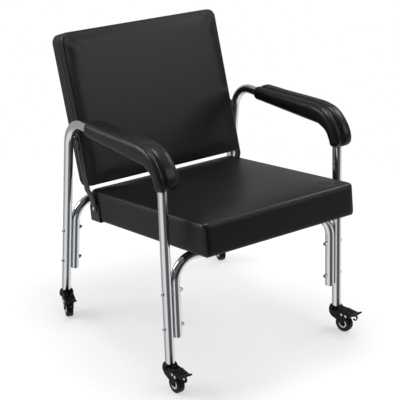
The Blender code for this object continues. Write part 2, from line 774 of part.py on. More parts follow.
def add_seat(seat):
    front = -SEAT_PIVOT_BEHIND_FRONT
    rear = front + SEAT_DEPTH
    base = -SEAT_PIVOT_ABOVE_BASE
    low = (-SEAT_HALF, front, base)
    high = (SEAT_HALF, rear, base + SEAT_THICKNESS)
    corners = (2, SEAT_CORNER, SEAT_CORNER)
    cage = soft_box(low, high, corners, (2, 1, SEAT_CROWN), SEAT_DRAW_IN)
    cushion = add_part("seat_cushion", cage, "black_vinyl", seat, smooth=True)
    round_edges(cushion, SEAT_EDGE_RADIUS)

    margin = Vector((SEAT_BOARD_MARGIN, SEAT_BOARD_MARGIN, 0))
    board_low = Vector((-SEAT_HALF, front, base)) + margin
    board_high = Vector((SEAT_HALF, rear, base + SEAT_BOARD_THICKNESS)) - margin
    add_part("seat_board", box(board_low, board_high), "plywood", seat)
    gap = Vector((CLEARANCE, CLEARANCE, CLEARANCE))
    below = Vector((0, 0, SEAT_BOARD_THICKNESS))
    cut(cushion, add_cutter("seat_board_pocket", box(board_low - gap - below, board_high + gap), seat))

    for side_name, side in SIDES:
        add_seat_bracket(side_name, side, base, seat)
        add_hinge_bolt(side_name, side, seat)
        runner = plate(runner_outline(base), RUNNER_WIDTH, SIDE_PLANE, side * RUNNER_OFFSET)
        add_part(f"seat_runner_{side_name}", runner, "white_nylon", seat)


def add_seat_bracket(side_name, side, base, seat):
    """An angle bracket: a plate beside the seat with the hinge hole, and a flange under the board."""
    under = base - CLEARANCE - BRACKET_THICKNESS
    edge = [
        (BRACKET_OUTER_X, BRACKET_ABOVE_PIVOT),
        (BRACKET_INNER_X, BRACKET_ABOVE_PIVOT),
        (BRACKET_INNER_X, base - CLEARANCE),
        (BRACKET_OUTER_X - BRACKET_FLANGE, base - CLEARANCE),
        (BRACKET_OUTER_X - BRACKET_FLANGE, under),
        (BRACKET_OUTER_X, under),
    ]
    middle = BRACKET_AHEAD_OF_PIVOT - BRACKET_LENGTH / 2
    angle = plate([(side * x, z) for x, z in edge], BRACKET_LENGTH, FRONT_PLANE, middle)
    bracket = add_part(f"seat_bracket_{side_name}", angle, "black_steel", seat)
    start = (side * (BRACKET_INNER_X - BRACKET_THICKNESS), 0, 0)
    end = (side * (BRACKET_OUTER_X + BRACKET_THICKNESS), 0, 0)
    hole = rod(start, end, HINGE_BOLT_DIAMETER / 2 + CLEARANCE)
    cut(bracket, add_cutter(f"bracket_hole_{side_name}", hole, seat))


def add_hinge_bolt(side_name, side, seat):
    head = STRAP_FOOT_OUTER_X + CLEARANCE
    tip = BRACKET_INNER_X + CLEARANCE
    radius = HINGE_BOLT_DIAMETER / 2
    bolt = [
        (0.0, head + HINGE_HEAD_HEIGHT),
        (HINGE_HEAD_TOP_DIAMETER / 2, head + HINGE_HEAD_HEIGHT),
        (HINGE_HEAD_DIAMETER / 2, head + HINGE_HEAD_HEIGHT / 2),
        (HINGE_HEAD_DIAMETER / 2, head),
        (radius, head),
        (radius, tip),
        (0.0, tip),
    ]
    placing = Matrix.Rotation(side * math.pi / 2, 4, "Y")
    turned(add_part(f"hinge_bolt_{side_name}", profile(bolt), "zinc_steel", seat), ROUND_SIDES, placing)


def runner_outline(base):
    """The runner's side outline: its underside is the path of the front arch through the recline."""
    reach = TUBE_RADIUS + CLEARANCE
    top = base - CLEARANCE
    places = [arch_in_seat(RECLINE * step / RUNNER_STEPS) for step in range(RUNNER_STEPS + 1)]
    track = []
    for step, place in enumerate(places):
        before = places[max(step - 1, 0)]
        after = places[min(step + 1, RUNNER_STEPS)]
        along = (after - before).normalized()
        track.append(place + Vector((-along.y, along.x)) * reach)
    upright = math.pi / 2
    front_angle = upright + RUNNER_LIP_ANGLE
    rear_angle = upright - RUNNER_LIP_ANGLE
    lip_step = RUNNER_LIP_ANGLE / LIP_STEPS
    front_lip = arc(places[0], reach, front_angle, upright + lip_step, LIP_STEPS - 1)
    rear_lip = arc(places[-1], reach, upright - lip_step, rear_angle, LIP_STEPS - 1)
    front_tip = arc(places[0], reach + RUNNER_LIP, front_angle, upright, 1)[0]
    rear_tip = arc(places[-1], reach + RUNNER_LIP, rear_angle, upright, 1)[0]
    underside = [front_tip, *front_lip, *[tuple(point) for point in track], *rear_lip, rear_tip]
    return [(front_tip[0], top), *underside, (rear_tip[0], top)]


# Casters, built about the swivel axis with the wheel trailing towards -Y


def add_caster(place, side, end, frame):
    foot_y = leg_y(end, LEG_BOTTOM)
    add_caster_stem(place, side, end, frame)
    turn = math.radians(CASTER_TURNS[place])
    swivel = add_empty(f"swivel_{place}", frame, (side * LEG_X, foot_y, 0), (0, 0, turn))
    add_fork(place, swivel)
    hub = add_empty(f"hub_{place}", swivel, (0, -TRAIL, WHEEL_RADIUS))
    add_wheel(place, hub)
    add_axle(place, hub)
    pedal_pin = (0, -TRAIL - PEDAL_PIN_AHEAD, PEDAL_PIN_HEIGHT)
    add_pedal(place, add_empty(f"pedal_hinge_{place}", swivel, pedal_pin))


def add_caster_stem(place, side, end, frame):
    """The plug in the leg's end, tilted with the leg, and the upright pin that the fork turns on."""
    x = side * LEG_X
    splay = FRONT_SPLAY if end < 0 else REAR_SPLAY
    up_leg = Vector((0, -end * math.sin(splay), math.cos(splay)))
    foot = Vector((x, leg_y(end, LEG_BOTTOM), LEG_BOTTOM))
    plug = rod(foot - up_leg * STEM_COLLAR / 2, foot + up_leg * STEM_PLUG, PLUG_RADIUS)
    stem = add_part(f"caster_stem_{place}", plug, "zinc_steel", frame)
    under = foot - up_leg * CLEARANCE
    collar = rod(under - up_leg * STEM_COLLAR, under, TUBE_RADIUS)
    flange_top = Vector((x, foot.y, LEG_BOTTOM - STEM_COLLAR))
    flange = rod((x, foot.y, HOOD_FLOOR + CLEARANCE), flange_top, STEM_FLANGE_DIAMETER / 2)
    pin = rod((x, foot.y, HOOD_BOTTOM + STEM_END_ABOVE_HOOD), (x, foot.y, LEG_BOTTOM), STEM_DIAMETER / 2)
    for name, mesh in (("collar", collar), ("flange", flange), ("pin", pin)):
        join(stem, add_cutter(f"stem_{name}_{place}", mesh, frame))


def cheek_outline():
    """The fork's side plate in Y and Z, from its top rear corner round the axle to its top front corner."""
    axle = (-TRAIL, WHEEL_RADIUS)
    nose = axle[0] - CHEEK_FRONT
    end = arc(axle, CHEEK_END_RADIUS, CHEEK_END_START, CHEEK_END_STOP, ROUND_SIDES // 2)
    return [
        (CHEEK_REAR, HOOD_FLOOR),
        CHEEK_WAIST,
        *end,
        (nose + CHEEK_END_RADIUS, CHEEK_FRONT_HEIGHT),
        (nose, CHEEK_FRONT_HEIGHT),
        (nose, PEDAL_PIN_HEIGHT + PEDAL_PIN_DIAMETER),
        (axle[0], HOOD_FLOOR),
    ]


def add_fork(place, swivel):
    radius = HOOD_DIAMETER / 2
    cup = HOOD_CUP_DIAMETER / 2
    bore = STEM_DIAMETER / 2 + CLEARANCE
    hood = [
        (bore, HOOD_FLOOR),
        (cup - HOOD_ROUND, HOOD_FLOOR),
        (cup, HOOD_FLOOR + HOOD_ROUND),
        (cup, HOOD_TOP),
        (radius - HOOD_ROUND, HOOD_TOP),
        (radius, HOOD_TOP - HOOD_ROUND),
        (radius, HOOD_FLOOR),
        (radius - HOOD_ROUND, HOOD_BOTTOM),
        (bore, HOOD_BOTTOM),
    ]
    fork = add_part(f"caster_fork_{place}", profile(hood, closed=True), "black_plastic", swivel)
    turned(fork, ROUND_SIDES, Matrix.Identity(4))
    bridge_low = (-CHEEK_INNER_X - CHEEK_THICKNESS / 2, -TRAIL, HOOD_BOTTOM)
    bridge_high = (CHEEK_INNER_X + CHEEK_THICKNESS / 2, -cup / 2, HOOD_FLOOR)
    join(fork, add_cutter(f"fork_bridge_{place}", box(bridge_low, bridge_high), swivel))
    for side_name, side in SIDES:
        middle = side * (CHEEK_INNER_X + CHEEK_OUTER_X) / 2
        cheek = plate(cheek_outline(), CHEEK_THICKNESS, SIDE_PLANE, middle)
        join(fork, add_cutter(f"fork_cheek_{side_name}_{place}", cheek, swivel))
    stem_hole = rod((0, 0, 0), (0, 0, HOOD_TOP), bore)
    cut(fork, add_cutter(f"fork_stem_hole_{place}", stem_hole, swivel))
    across = Vector((2 * CHEEK_OUTER_X, 0, 0))
    axle = Vector((0, -TRAIL, WHEEL_RADIUS))
    axle_hole = rod(axle - across, axle + across, AXLE_DIAMETER / 2 + CLEARANCE)
    cut(fork, add_cutter(f"fork_axle_hole_{place}", axle_hole, swivel))
    pin = Vector((0, -TRAIL - PEDAL_PIN_AHEAD, PEDAL_PIN_HEIGHT))
    pin_hole = rod(pin - across, pin + across, PEDAL_PIN_DIAMETER / 2 + CLEARANCE)
    cut(fork, add_cutter(f"fork_pedal_hole_{place}", pin_hole, swivel))


def add_wheel(place, hub):
    """The wheel: its flats are tangent to the rolling circle, with one of them down."""
    spread = 1 / math.cos(math.pi / WHEEL_SIDES)
    half = WHEEL_WIDTH / 2
    bore = AXLE_DIAMETER / 2 + CLEARANCE
    one_side = [
        (bore, half),
        (WHEEL_RING_INNER, half),
        (WHEEL_RING_INNER, half - WHEEL_DISH),
        (WHEEL_RING_OUTER, half - WHEEL_DISH),
        (WHEEL_RING_OUTER, half),
        (WHEEL_RADIUS - WHEEL_SHOULDER, half),
        (WHEEL_RADIUS, half - WHEEL_SHOULDER),
    ]
    other_side = [(radius, -height) for radius, height in reversed(one_side)]
    section = [(radius * spread, height) for radius, height in one_side + other_side]
    wheel = add_part(f"caster_wheel_{place}", profile(section, closed=True), "caster_tread", hub)
    turned(wheel, WHEEL_SIDES, ALONG_X @ Matrix.Rotation(math.pi / WHEEL_SIDES, 4, "Z"))


def add_axle(place, hub):
    radius = AXLE_DIAMETER / 2
    seat = CHEEK_OUTER_X + CLEARANCE
    head = AXLE_HEAD_DIAMETER / 2
    one_end = [
        (0.0, seat + AXLE_HEAD_HEIGHT),
        (AXLE_HEAD_TOP_DIAMETER / 2, seat + AXLE_HEAD_HEIGHT),
        (head, seat),
        (radius, seat),
    ]
    section = one_end + [(size, -height) for size, height in reversed(one_end)]
    turned(add_part(f"caster_axle_{place}", profile(section), "zinc_steel", hub), ROUND_SIDES, ALONG_X)


def add_pedal(place, hinge):
    """The brake pedal: a barrel with a pin at each end, a brake shoe under it and a tread plate ahead."""
    barrel = Vector((CHEEK_INNER_X - CLEARANCE, 0, 0))
    pin = Vector((CHEEK_OUTER_X + CLEARANCE, 0, 0))
    core = rod(-barrel, barrel, PEDAL_BARREL_DIAMETER / 2)
    pedal = add_part(f"brake_pedal_{place}", core, "black_plastic", hinge)
    pins = rod(-pin, pin, PEDAL_PIN_DIAMETER / 2)
    neck_half = barrel.x - PEDAL_NECK_INSET
    shoe_half = neck_half - PEDAL_NECK_INSET
    neck_end = -PEDAL_START - PEDAL_NECK_LAP
    neck_edge = [
        (neck_end, PEDAL_RISE),
        (0.0, -PEDAL_NECK_ROOT / 2),
        (0.0, PEDAL_NECK_ROOT / 2),
        (neck_end, PEDAL_RISE + PEDAL_NECK_THICKNESS),
    ]
    tread_edge = [
        (-PEDAL_REACH, PEDAL_TIP_RISE),
        (-PEDAL_START, PEDAL_RISE),
        (-PEDAL_START, PEDAL_RISE + PEDAL_THICKNESS),
        (-PEDAL_REACH, PEDAL_TIP_RISE + PEDAL_THICKNESS),
    ]
    neck = plate(neck_edge, 2 * neck_half)
    tread = plate(tread_edge, PEDAL_WIDTH)
    shoe = box((-shoe_half, -PEDAL_SHOE_WIDTH / 2, -PEDAL_SHOE), (shoe_half, PEDAL_SHOE_WIDTH / 2, 0))
    for name, mesh in (("pins", pins), ("neck", neck), ("tread", tread), ("shoe", shoe)):
        join(pedal, add_cutter(f"pedal_{name}_{place}", mesh, hinge))


def centre_over_origin(root):
    """Moves the chair until the middle of its box stands over the origin, and says where its joints are.

    The box is not quite even from left to right, because the casters are turned.
    """
    bpy.context.view_layer.update()
    graph = bpy.context.evaluated_depsgraph_get()
    corners = []
    for part in PARTS.objects:
        if part.type == "MESH":
            shape = part.evaluated_get(graph)
            corners += [part.matrix_world @ Vector(corner) for corner in shape.bound_box]
    for axis in (0, 1):
        reach = [corner[axis] for corner in corners]
        root.location[axis] = -(min(reach) + max(reach)) / 2
    bpy.context.view_layer.update()
    for empty in PARTS.objects:
        if empty.type == "EMPTY":
            print(empty.name, [round(value, 5) for value in empty.matrix_world.translation])


clear_scene()
PARTS = make_collection(OBJECT_NAME)
CUTTERS = make_collection("cutters")
FINISH = {name: make_finish(name) for name in FINISHES}

chair = add_empty("frame", None)
add_frame(chair)
add_arm_pads(chair)
hinge_y, hinge_z = strap_foot(0.0)
add_back(add_empty("back_pivot", chair, (0, leg_y(1, PIVOT_HEIGHT), PIVOT_HEIGHT), (-BACK_LEAN, 0, 0)))
add_seat(add_empty("seat_hinge", chair, (0, hinge_y, hinge_z), (-SEAT_TILT, 0, 0)))
for end_name, end_sign in ENDS:
    for side_name, side_sign in SIDES:
        add_caster(f"{end_name}_{side_name}", side_sign, end_sign, chair)
centre_over_origin(chair)
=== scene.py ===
# %% [markdown]
# A hairdressing chair for a wash basin, dressed for its picture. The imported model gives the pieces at
# their real size and place. This script keeps every place and every joint, and gives each piece the
# shape and the finish that the eye expects: polished tube, taut vinyl, moulded casters.

# %% Load the frame
import json
import math

import bmesh
import bpy
from mathutils import Matrix, Vector


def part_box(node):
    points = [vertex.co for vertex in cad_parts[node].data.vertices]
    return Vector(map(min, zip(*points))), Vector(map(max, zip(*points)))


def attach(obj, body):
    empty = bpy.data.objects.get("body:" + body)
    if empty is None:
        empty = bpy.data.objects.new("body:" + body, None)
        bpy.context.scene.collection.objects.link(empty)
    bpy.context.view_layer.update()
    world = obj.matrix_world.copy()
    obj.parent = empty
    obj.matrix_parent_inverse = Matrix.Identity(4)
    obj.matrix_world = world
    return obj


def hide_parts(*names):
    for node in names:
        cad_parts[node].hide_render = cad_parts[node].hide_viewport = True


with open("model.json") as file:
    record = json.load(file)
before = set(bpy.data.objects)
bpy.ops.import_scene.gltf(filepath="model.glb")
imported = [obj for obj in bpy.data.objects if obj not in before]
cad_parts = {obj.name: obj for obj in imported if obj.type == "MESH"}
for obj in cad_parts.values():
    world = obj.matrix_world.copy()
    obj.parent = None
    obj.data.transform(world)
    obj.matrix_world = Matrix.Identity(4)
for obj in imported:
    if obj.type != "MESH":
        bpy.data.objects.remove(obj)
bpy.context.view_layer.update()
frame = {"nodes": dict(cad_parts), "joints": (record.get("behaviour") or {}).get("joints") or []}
scene = bpy.context.scene

# %% [markdown]
# Everything hangs on a few lines of the chair: the middle plane, the tubes, the stud axis of the back
# and the hinge axis of the seat. They could be typed in again, but the frame already holds them, so they
# are read from the boxes of the solids and from the joints. Only the angles are written out.

# %% Main lines of the chair
MM = 0.001
SIDES = (("left", -1), ("right", 1))
ENDS = (("front", -1), ("rear", 1))
CORNERS = {f"{end_name}_{side_name}": side for end_name, end in ENDS for side_name, side in SIDES}

joints = {joint["name"]: joint for joint in frame["joints"]}
tube_low, tube_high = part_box("side_frame_left")
seat_low, seat_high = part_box("seat_cushion")
MID_X = (seat_low.x + seat_high.x) / 2
TUBE_DIAMETER = tube_high.x - tube_low.x
TUBE_RADIUS = TUBE_DIAMETER / 2
LEG_X = MID_X - (tube_low.x + tube_high.x) / 2
RAIL_HEIGHT = tube_high.z - TUBE_RADIUS
STUD_AXIS = Vector(joints["back_recline"]["pos_m"])
HINGE_AXIS = Vector(joints["seat_pivot"]["pos_m"])
FOOT_Y = {end: joints[f"caster_swivel_{name}_left"]["pos_m"][1] for name, end in ENDS}
LEG_BOTTOM = 72 * MM
SPLAY = {-1: math.radians(3.24), 1: math.radians(6.14)}
BACK_LEAN = math.radians(18.55)
SEAT_TILT = math.radians(8.37)
BACK_PLACE = Matrix.Translation(STUD_AXIS) @ Matrix.Rotation(-BACK_LEAN, 4, "X")
SEAT_PLACE = Matrix.Translation(HINGE_AXIS) @ Matrix.Rotation(-SEAT_TILT, 4, "X")


def leg_y(end, height):
    """Where a leg's centre line runs at a height."""
    return FOOT_Y[end] - end * math.tan(SPLAY[end]) * (height - LEG_BOTTOM)


print("tube", round(TUBE_DIAMETER / MM, 1), "mm, legs", round(2 * LEG_X / MM), "mm apart")

# %% [markdown]
# Each finish is a small net of shader nodes. Colours are written as the hex values that a paint chart
# would give, and one function turns them to the linear light that Blender works in. Another adds a node
# with its settings and links, so that a finish reads as a list of what feeds what. Most finishes here
# follow a single pattern: it tints the colour, varies the gloss and may raise a little relief.

# %% Colours and nodes
# A mix node has sockets for numbers, vectors and colours. These are the places of the colours
MIX_FROM, MIX_TO, MIX_RESULT = 6, 7, 2


def linear(code):
    """A hex colour in linear light, by the sRGB curve, with full alpha."""
    parts = [int(code[start:start + 2], 16) / 255 for start in (0, 2, 4)]
    light = [part / 12.92 if part <= 0.04045 else ((part + 0.055) / 1.055) ** 2.4 for part in parts]
    return (*light, 1.0)


def add_node(tree, kind, links=(), **settings):
    """Adds a node. Settings name its properties or its sockets, and links a socket and what feeds it."""
    node = tree.nodes.new(kind)
    for name, value in settings.items():
        if hasattr(node, name):
            setattr(node, name, value)
        else:
            node.inputs[name.replace("_", " ")].default_value = value
    for socket, source in dict(links).items():
        tree.links.new(source, node.inputs[socket])
    return node


def new_finish(name, **settings):
    """A material with one principled shader, and the Object coordinates that its patterns use."""
    finish = bpy.data.materials.new(name)
    finish.use_nodes = True
    tree = finish.node_tree
    tree.nodes.clear()
    shader = add_node(tree, "ShaderNodeBsdfPrincipled", **settings)
    add_node(tree, "ShaderNodeOutputMaterial", {"Surface": shader.outputs["BSDF"]})
    place = add_node(tree, "ShaderNodeTexCoord").outputs["Object"]
    return finish, tree, shader, place


def follow(tree, shader, pattern, colours=None, rough=None, relief=None):
    """Lets a finish swing between two colours and two roughnesses, and gives its bumps strength and depth."""
    if colours:
        mix = add_node(tree, "ShaderNodeMix", {0: pattern}, data_type="RGBA")
        mix.inputs[MIX_FROM].default_value = linear(colours[0])
        mix.inputs[MIX_TO].default_value = linear(colours[1])
        tree.links.new(mix.outputs[MIX_RESULT], shader.inputs["Base Color"])
    if rough:
        span = add_node(tree, "ShaderNodeMapRange", {"Value": pattern}, To_Min=rough[0], To_Max=rough[1])
        tree.links.new(span.outputs["Result"], shader.inputs["Roughness"])
    if relief:
        bump = add_node(tree, "ShaderNodeBump", {"Height": pattern}, Strength=relief[0], Distance=relief[1])
        tree.links.new(bump.outputs[0], shader.inputs["Normal"])


def mottled_finish(name, size, detail, colours, rough, relief=None, **settings):
    """A finish that follows one noise of a real size, as plated, coated and moulded surfaces do."""
    finish, tree, shader, place = new_finish(name, **settings)
    noise = add_node(tree, "ShaderNodeTexNoise", {"Vector": place}, Scale=1 / size, Detail=detail)
    follow(tree, shader, noise.outputs["Fac"], colours, rough, relief)
    return finish


print("mid grey, hex 808080, is", round(linear("808080")[0], 3), "in linear light")

# %% [markdown]
# The frame is steel tube, polished and chrome plated. Chrome is a mirror with a faint blue-grey cast,
# and what the eye reads on it is the room: long bright bands with a dark one between. A little
# unevenness from the polishing wheel keeps those bands from looking drawn with a ruler.

# %% Chrome plated steel
POLISH_MARK = 14 * MM
POLISH_STRETCH = (1.0, 1.0, 0.25)


def make_chrome():
    finish, tree, shader, place = new_finish(
        "chrome_plated_steel", Base_Color=linear("D2D4D7"), Metallic=1.0, Roughness=0.1
    )
    drawn = add_node(tree, "ShaderNodeMapping", {"Vector": place}, Scale=POLISH_STRETCH)
    marks = add_node(
        tree, "ShaderNodeTexNoise", {"Vector": drawn.outputs[0]}, Scale=1 / POLISH_MARK, Detail=4.0
    )
    follow(tree, shader, marks.outputs["Fac"], rough=(0.07, 0.16), relief=(0.02, 0.2 * MM))
    return finish


CHROME = make_chrome()
print("made", CHROME.name)

# %% [markdown]
# A tube is bent on a machine, so it is straight, then an arc, then straight again. A curve with a bevel
# would give it, but drawing out a ring of edges and spinning it round each bend shows how such a tube
# comes about. The ends get a wall and a short bore, because the arches stop in open ends.

# %% Helpers for swept tubes
TUBE_SIDES = 40
BEND_STEPS = 14
TUBE_WALL = 1.5 * MM
BORE_DEPTH = 12 * MM


def only(kind, made):
    """The vertices, the edges or the faces among what an operator made."""
    return [item for item in made if isinstance(item, kind)]


def draw_out(bm, edges, step):
    """Extrudes a ring of edges by a step, and gives the ring at the new end."""
    made = bmesh.ops.extrude_edge_only(bm, edges=edges)["geom"]
    verts = only(bmesh.types.BMVert, made)
    bmesh.ops.translate(bm, vec=step, verts=verts)
    ends = set(verts)
    return [edge for edge in only(bmesh.types.BMEdge, made) if ends.issuperset(edge.verts)]


def swept_tube(corners, bend, radius, sides=TUBE_SIDES):
    """A round tube through the corners, with a bend of the same radius at each inner one."""
    bm = bmesh.new()
    corners = [Vector(corner) for corner in corners]
    start = (corners[1] - corners[0]).to_track_quat("Z", "Y").to_matrix().to_4x4()
    bmesh.ops.create_circle(bm, segments=sides, radius=radius, matrix=Matrix.Translation(corners[0]) @ start)
    ring = list(bm.edges)
    place = corners[0]
    for before, corner, after in zip(corners, corners[1:], corners[2:]):
        come = (corner - before).normalized()
        go = (after - corner).normalized()
        turn = come.angle(go)
        reach = bend * math.tan(turn / 2)
        axis = come.cross(go).normalized()
        ring = draw_out(bm, ring, corner - come * reach - place)
        centre = corner - come * reach + axis.cross(come) * bend
        spun = bmesh.ops.spin(bm, geom=ring, cent=centre, axis=axis, angle=turn, steps=BEND_STEPS)
        ring = only(bmesh.types.BMEdge, spun["geom_last"])
        place = corner + go * reach
    draw_out(bm, ring, corners[-1] - place)
    return bm


def open_ends(bm, wall, depth):
    """Closes the ends of a tube with the ring of its wall and a short bore."""
    rims = [edge for edge in bm.edges if edge.is_boundary]
    caps = bmesh.ops.holes_fill(bm, edges=rims, sides=0)["faces"]
    bmesh.ops.recalc_face_normals(bm, faces=bm.faces)
    for cap in caps:
        inward = -cap.normal
        bmesh.ops.inset_region(bm, faces=[cap], thickness=wall)
        made = bmesh.ops.extrude_discrete_faces(bm, faces=[cap])["faces"]
        bmesh.ops.translate(bm, vec=inward * depth, verts=made[0].verts)
    return bm


print("a tube has", TUBE_SIDES, "sides and takes a bend in", BEND_STEPS, "steps")

# %% [markdown]
# A finished mesh becomes a piece of the chair: an object at the origin with its finish, the body that
# it moves with, and the solids that it stands for. Every piece needs the same few lines, so one
# function has them. Faces are shaded smooth, and edges that turn by more than an angle stay sharp.

# %% Handing over a piece
SHARP_ANGLE = 35


def make_piece(name, bm, finish, body, slot, *nodes, sharp=SHARP_ANGLE):
    """Hands a finished mesh to its body, and hides the solids that it stands for."""
    mesh = bpy.data.meshes.new(name)
    bm.to_mesh(mesh)
    bm.free()
    mesh.materials.append(finish)
    mesh.shade_smooth()
    mesh.set_sharp_from_angle(angle=math.radians(sharp))
    piece = bpy.data.objects.new(name, mesh)
    scene.collection.objects.link(piece)
    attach(piece, body)
    if nodes:
        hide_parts(*nodes)
    return piece


print("edges stay sharp beyond", SHARP_ANGLE, "degrees")

# %% [markdown]
# Each side of the chair is one tube: up the rear leg, along under the arm and down the front leg. An
# arch at the front and one at the rear join the two sides, and lean with the legs that they are bolted
# to. Every point of a tube could be copied from a drawing, but its corners follow from the feet and the
# splay of the legs, so only those are worked out, and the helper makes the bends.

# %% Side frames and arches
SIDE_BEND = 76 * MM
ARCH_BEND = 60 * MM
arch_low, arch_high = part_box("front_arch")
ARCH_X = MID_X - arch_low.x - TUBE_RADIUS
ARCH_TOP = arch_high.z - TUBE_RADIUS
ARCH_BOTTOM = 140 * MM
CUP_FLOOR = 68.5 * MM

for side_name, side in SIDES:
    x = MID_X + side * LEG_X
    corners = [
        (x, leg_y(1, CUP_FLOOR), CUP_FLOOR),
        (x, leg_y(1, RAIL_HEIGHT), RAIL_HEIGHT),
        (x, leg_y(-1, RAIL_HEIGHT), RAIL_HEIGHT),
        (x, leg_y(-1, CUP_FLOOR), CUP_FLOOR),
    ]
    bm = open_ends(swept_tube(corners, SIDE_BEND, TUBE_RADIUS), TUBE_WALL, BORE_DEPTH)
    make_piece(f"bent_side_tube_{side_name}", bm, CHROME, "frame", "chromed_steel", f"side_frame_{side_name}")
for end_name, end in ENDS:
    corners = [
        (MID_X - ARCH_X, leg_y(end, ARCH_BOTTOM), ARCH_BOTTOM),
        (MID_X - ARCH_X, leg_y(end, ARCH_TOP), ARCH_TOP),
        (MID_X + ARCH_X, leg_y(end, ARCH_TOP), ARCH_TOP),
        (MID_X + ARCH_X, leg_y(end, ARCH_BOTTOM), ARCH_BOTTOM),
    ]
    bm = open_ends(swept_tube(corners, ARCH_BEND, TUBE_RADIUS), TUBE_WALL, BORE_DEPTH)
    make_piece(f"cross_arch_{end_name}", bm, CHROME, "frame", "chromed_steel", f"{end_name}_arch")
print("the arches stand", round(2 * ARCH_X / MM), "mm wide and reach up to", round(ARCH_TOP / MM), "mm")

# %% [markdown]
# The small steel parts are zinc plated: paler and duller than the chrome, with the faint cloudiness that
# a plating bath leaves. An even grey would look like plastic beside the chrome, so a cloudy noise of a
# few millimetres shifts its colour and its gloss.

# %% Zinc plated steel
BATH_CLOUD = 3 * MM

ZINC = mottled_finish(
    "zinc_plated_steel", BATH_CLOUD, 3.0, ("B2B4B6", "D0D1D2"), (0.2, 0.34), Metallic=1.0, Roughness=0.25
)
print("made", ZINC.name)

# %% [markdown]
# Bolts pass through leg and arch, with a domed head outside and an acorn nut inside. Both are turned
# shapes, so a half outline is spun a full turn. The acorn nut also has a six-sided foot for the spanner:
# a circle of six sides, drawn up and chamfered.

# %% Arch bolts and acorn nuts
LATHE_STEPS = 28
LATHE_MERGE = 0.002 * MM
HEAD_SIZE = (6 * MM, 3.4 * MM)
NUT_SIZE = (6.3 * MM, 5 * MM, 10.3 * MM)
NUT_CHAMFER = 0.12
NUT_DOME = 0.82


def lathe(outline, steps=LATHE_STEPS, bm=None):
    """Spins an outline of radius and height a full turn about Z, closed at the poles."""
    bm = bm or bmesh.new()
    verts = [bm.verts.new((radius, 0.0, height)) for radius, height in outline]
    edges = [bm.edges.new(pair) for pair in zip(verts, verts[1:])]
    bmesh.ops.spin(
        bm, geom=verts + edges, cent=(0, 0, 0), axis=(0, 0, 1), angle=2 * math.pi, steps=steps, use_merge=True
    )
    bmesh.ops.remove_doubles(bm, verts=bm.verts, dist=LATHE_MERGE)
    bmesh.ops.recalc_face_normals(bm, faces=bm.faces)
    return bm


def dome(radius, height, base, steps=6):
    """Outline points of a low dome, from its rim up to its top."""
    turns = [math.pi / 2 * step / steps for step in range(steps + 1)]
    return [(radius * math.cos(turn), base + height * math.sin(turn)) for turn in turns]


def placed(bm, matrix):
    """The same mesh, moved and turned."""
    bmesh.ops.transform(bm, matrix=matrix, verts=bm.verts)
    return bm


def bevel(bm, geometry, size, segments, affect="EDGES"):
    """Rounds edges or corners, without letting one bevel run into the next."""
    bmesh.ops.bevel(
        bm, geom=geometry, offset=size, segments=segments, profile=0.5, affect=affect, material=-1,
        clamp_overlap=True,
    )


def bolt_head(radius, height):
    """A domed head with a small flange, flat underneath."""
    return lathe([(0.0, 0.0), (radius, 0.0), *dome(radius, height, 0.2 * height), (0.0, 1.2 * height)])


def acorn_nut(radius, foot, height):
    """A six-sided foot with chamfered corners and a dome on it."""
    bm = bmesh.new()
    bmesh.ops.create_circle(bm, cap_ends=True, segments=6, radius=radius)
    raised = bmesh.ops.extrude_face_region(bm, geom=bm.faces[:])["geom"]
    bmesh.ops.translate(bm, vec=(0, 0, foot), verts=only(bmesh.types.BMFace, raised)[0].verts)
    rim = [edge for edge in bm.edges if all(vert.co.z > foot / 2 for vert in edge.verts)]
    bevel(bm, rim, NUT_CHAMFER * radius, 2)
    bmesh.ops.recalc_face_normals(bm, faces=bm.faces)
    cap = NUT_DOME * radius
    return lathe([(0.0, foot * 0.5), (cap, foot * 0.5), *dome(cap, height - foot, foot)], bm=bm)


for place, side in CORNERS.items():
    leg_face = MID_X + side * (LEG_X + TUBE_RADIUS)
    arch_face = MID_X + side * (ARCH_X - TUBE_RADIUS)
    outward = Matrix.Rotation(side * math.pi / 2, 4, "Y")
    inward = Matrix.Rotation(-side * math.pi / 2, 4, "Y")
    for level in ("lower", "upper"):
        bolt = f"arch_bolt_{place}_{level}"
        low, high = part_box(bolt)
        middle = (low + high) / 2
        head = placed(bolt_head(*HEAD_SIZE), Matrix.Translation((leg_face, middle.y, middle.z)) @ outward)
        make_piece(f"bolt_head_{place}_{level}", head, ZINC, "frame", "zinc_steel", bolt)
        cap_nut = f"arch_cap_nut_{place}_{level}"
        nut = placed(acorn_nut(*NUT_SIZE), Matrix.Translation((arch_face, middle.y, middle.z)) @ inward)
        make_piece(f"acorn_nut_{place}_{level}", nut, ZINC, "frame", "zinc_steel", cap_nut)
print("bolts and acorn nuts sit on", len(CORNERS), "legs")

# %% [markdown]
# The upholstery is black vinyl over foam: a coated cloth with a fine pebbled grain, satin rather than
# shiny. Black vinyl has little colour of its own, so its look is the broad soft sheen. The real grain is
# about a millimetre and too fine to show in the picture, so it is drawn a little coarser. A slower wave
# underneath breaks the sheen as foam does.

# %% Black vinyl
GRAIN = 1.6 * MM
FOAM_WAVE = 55 * MM


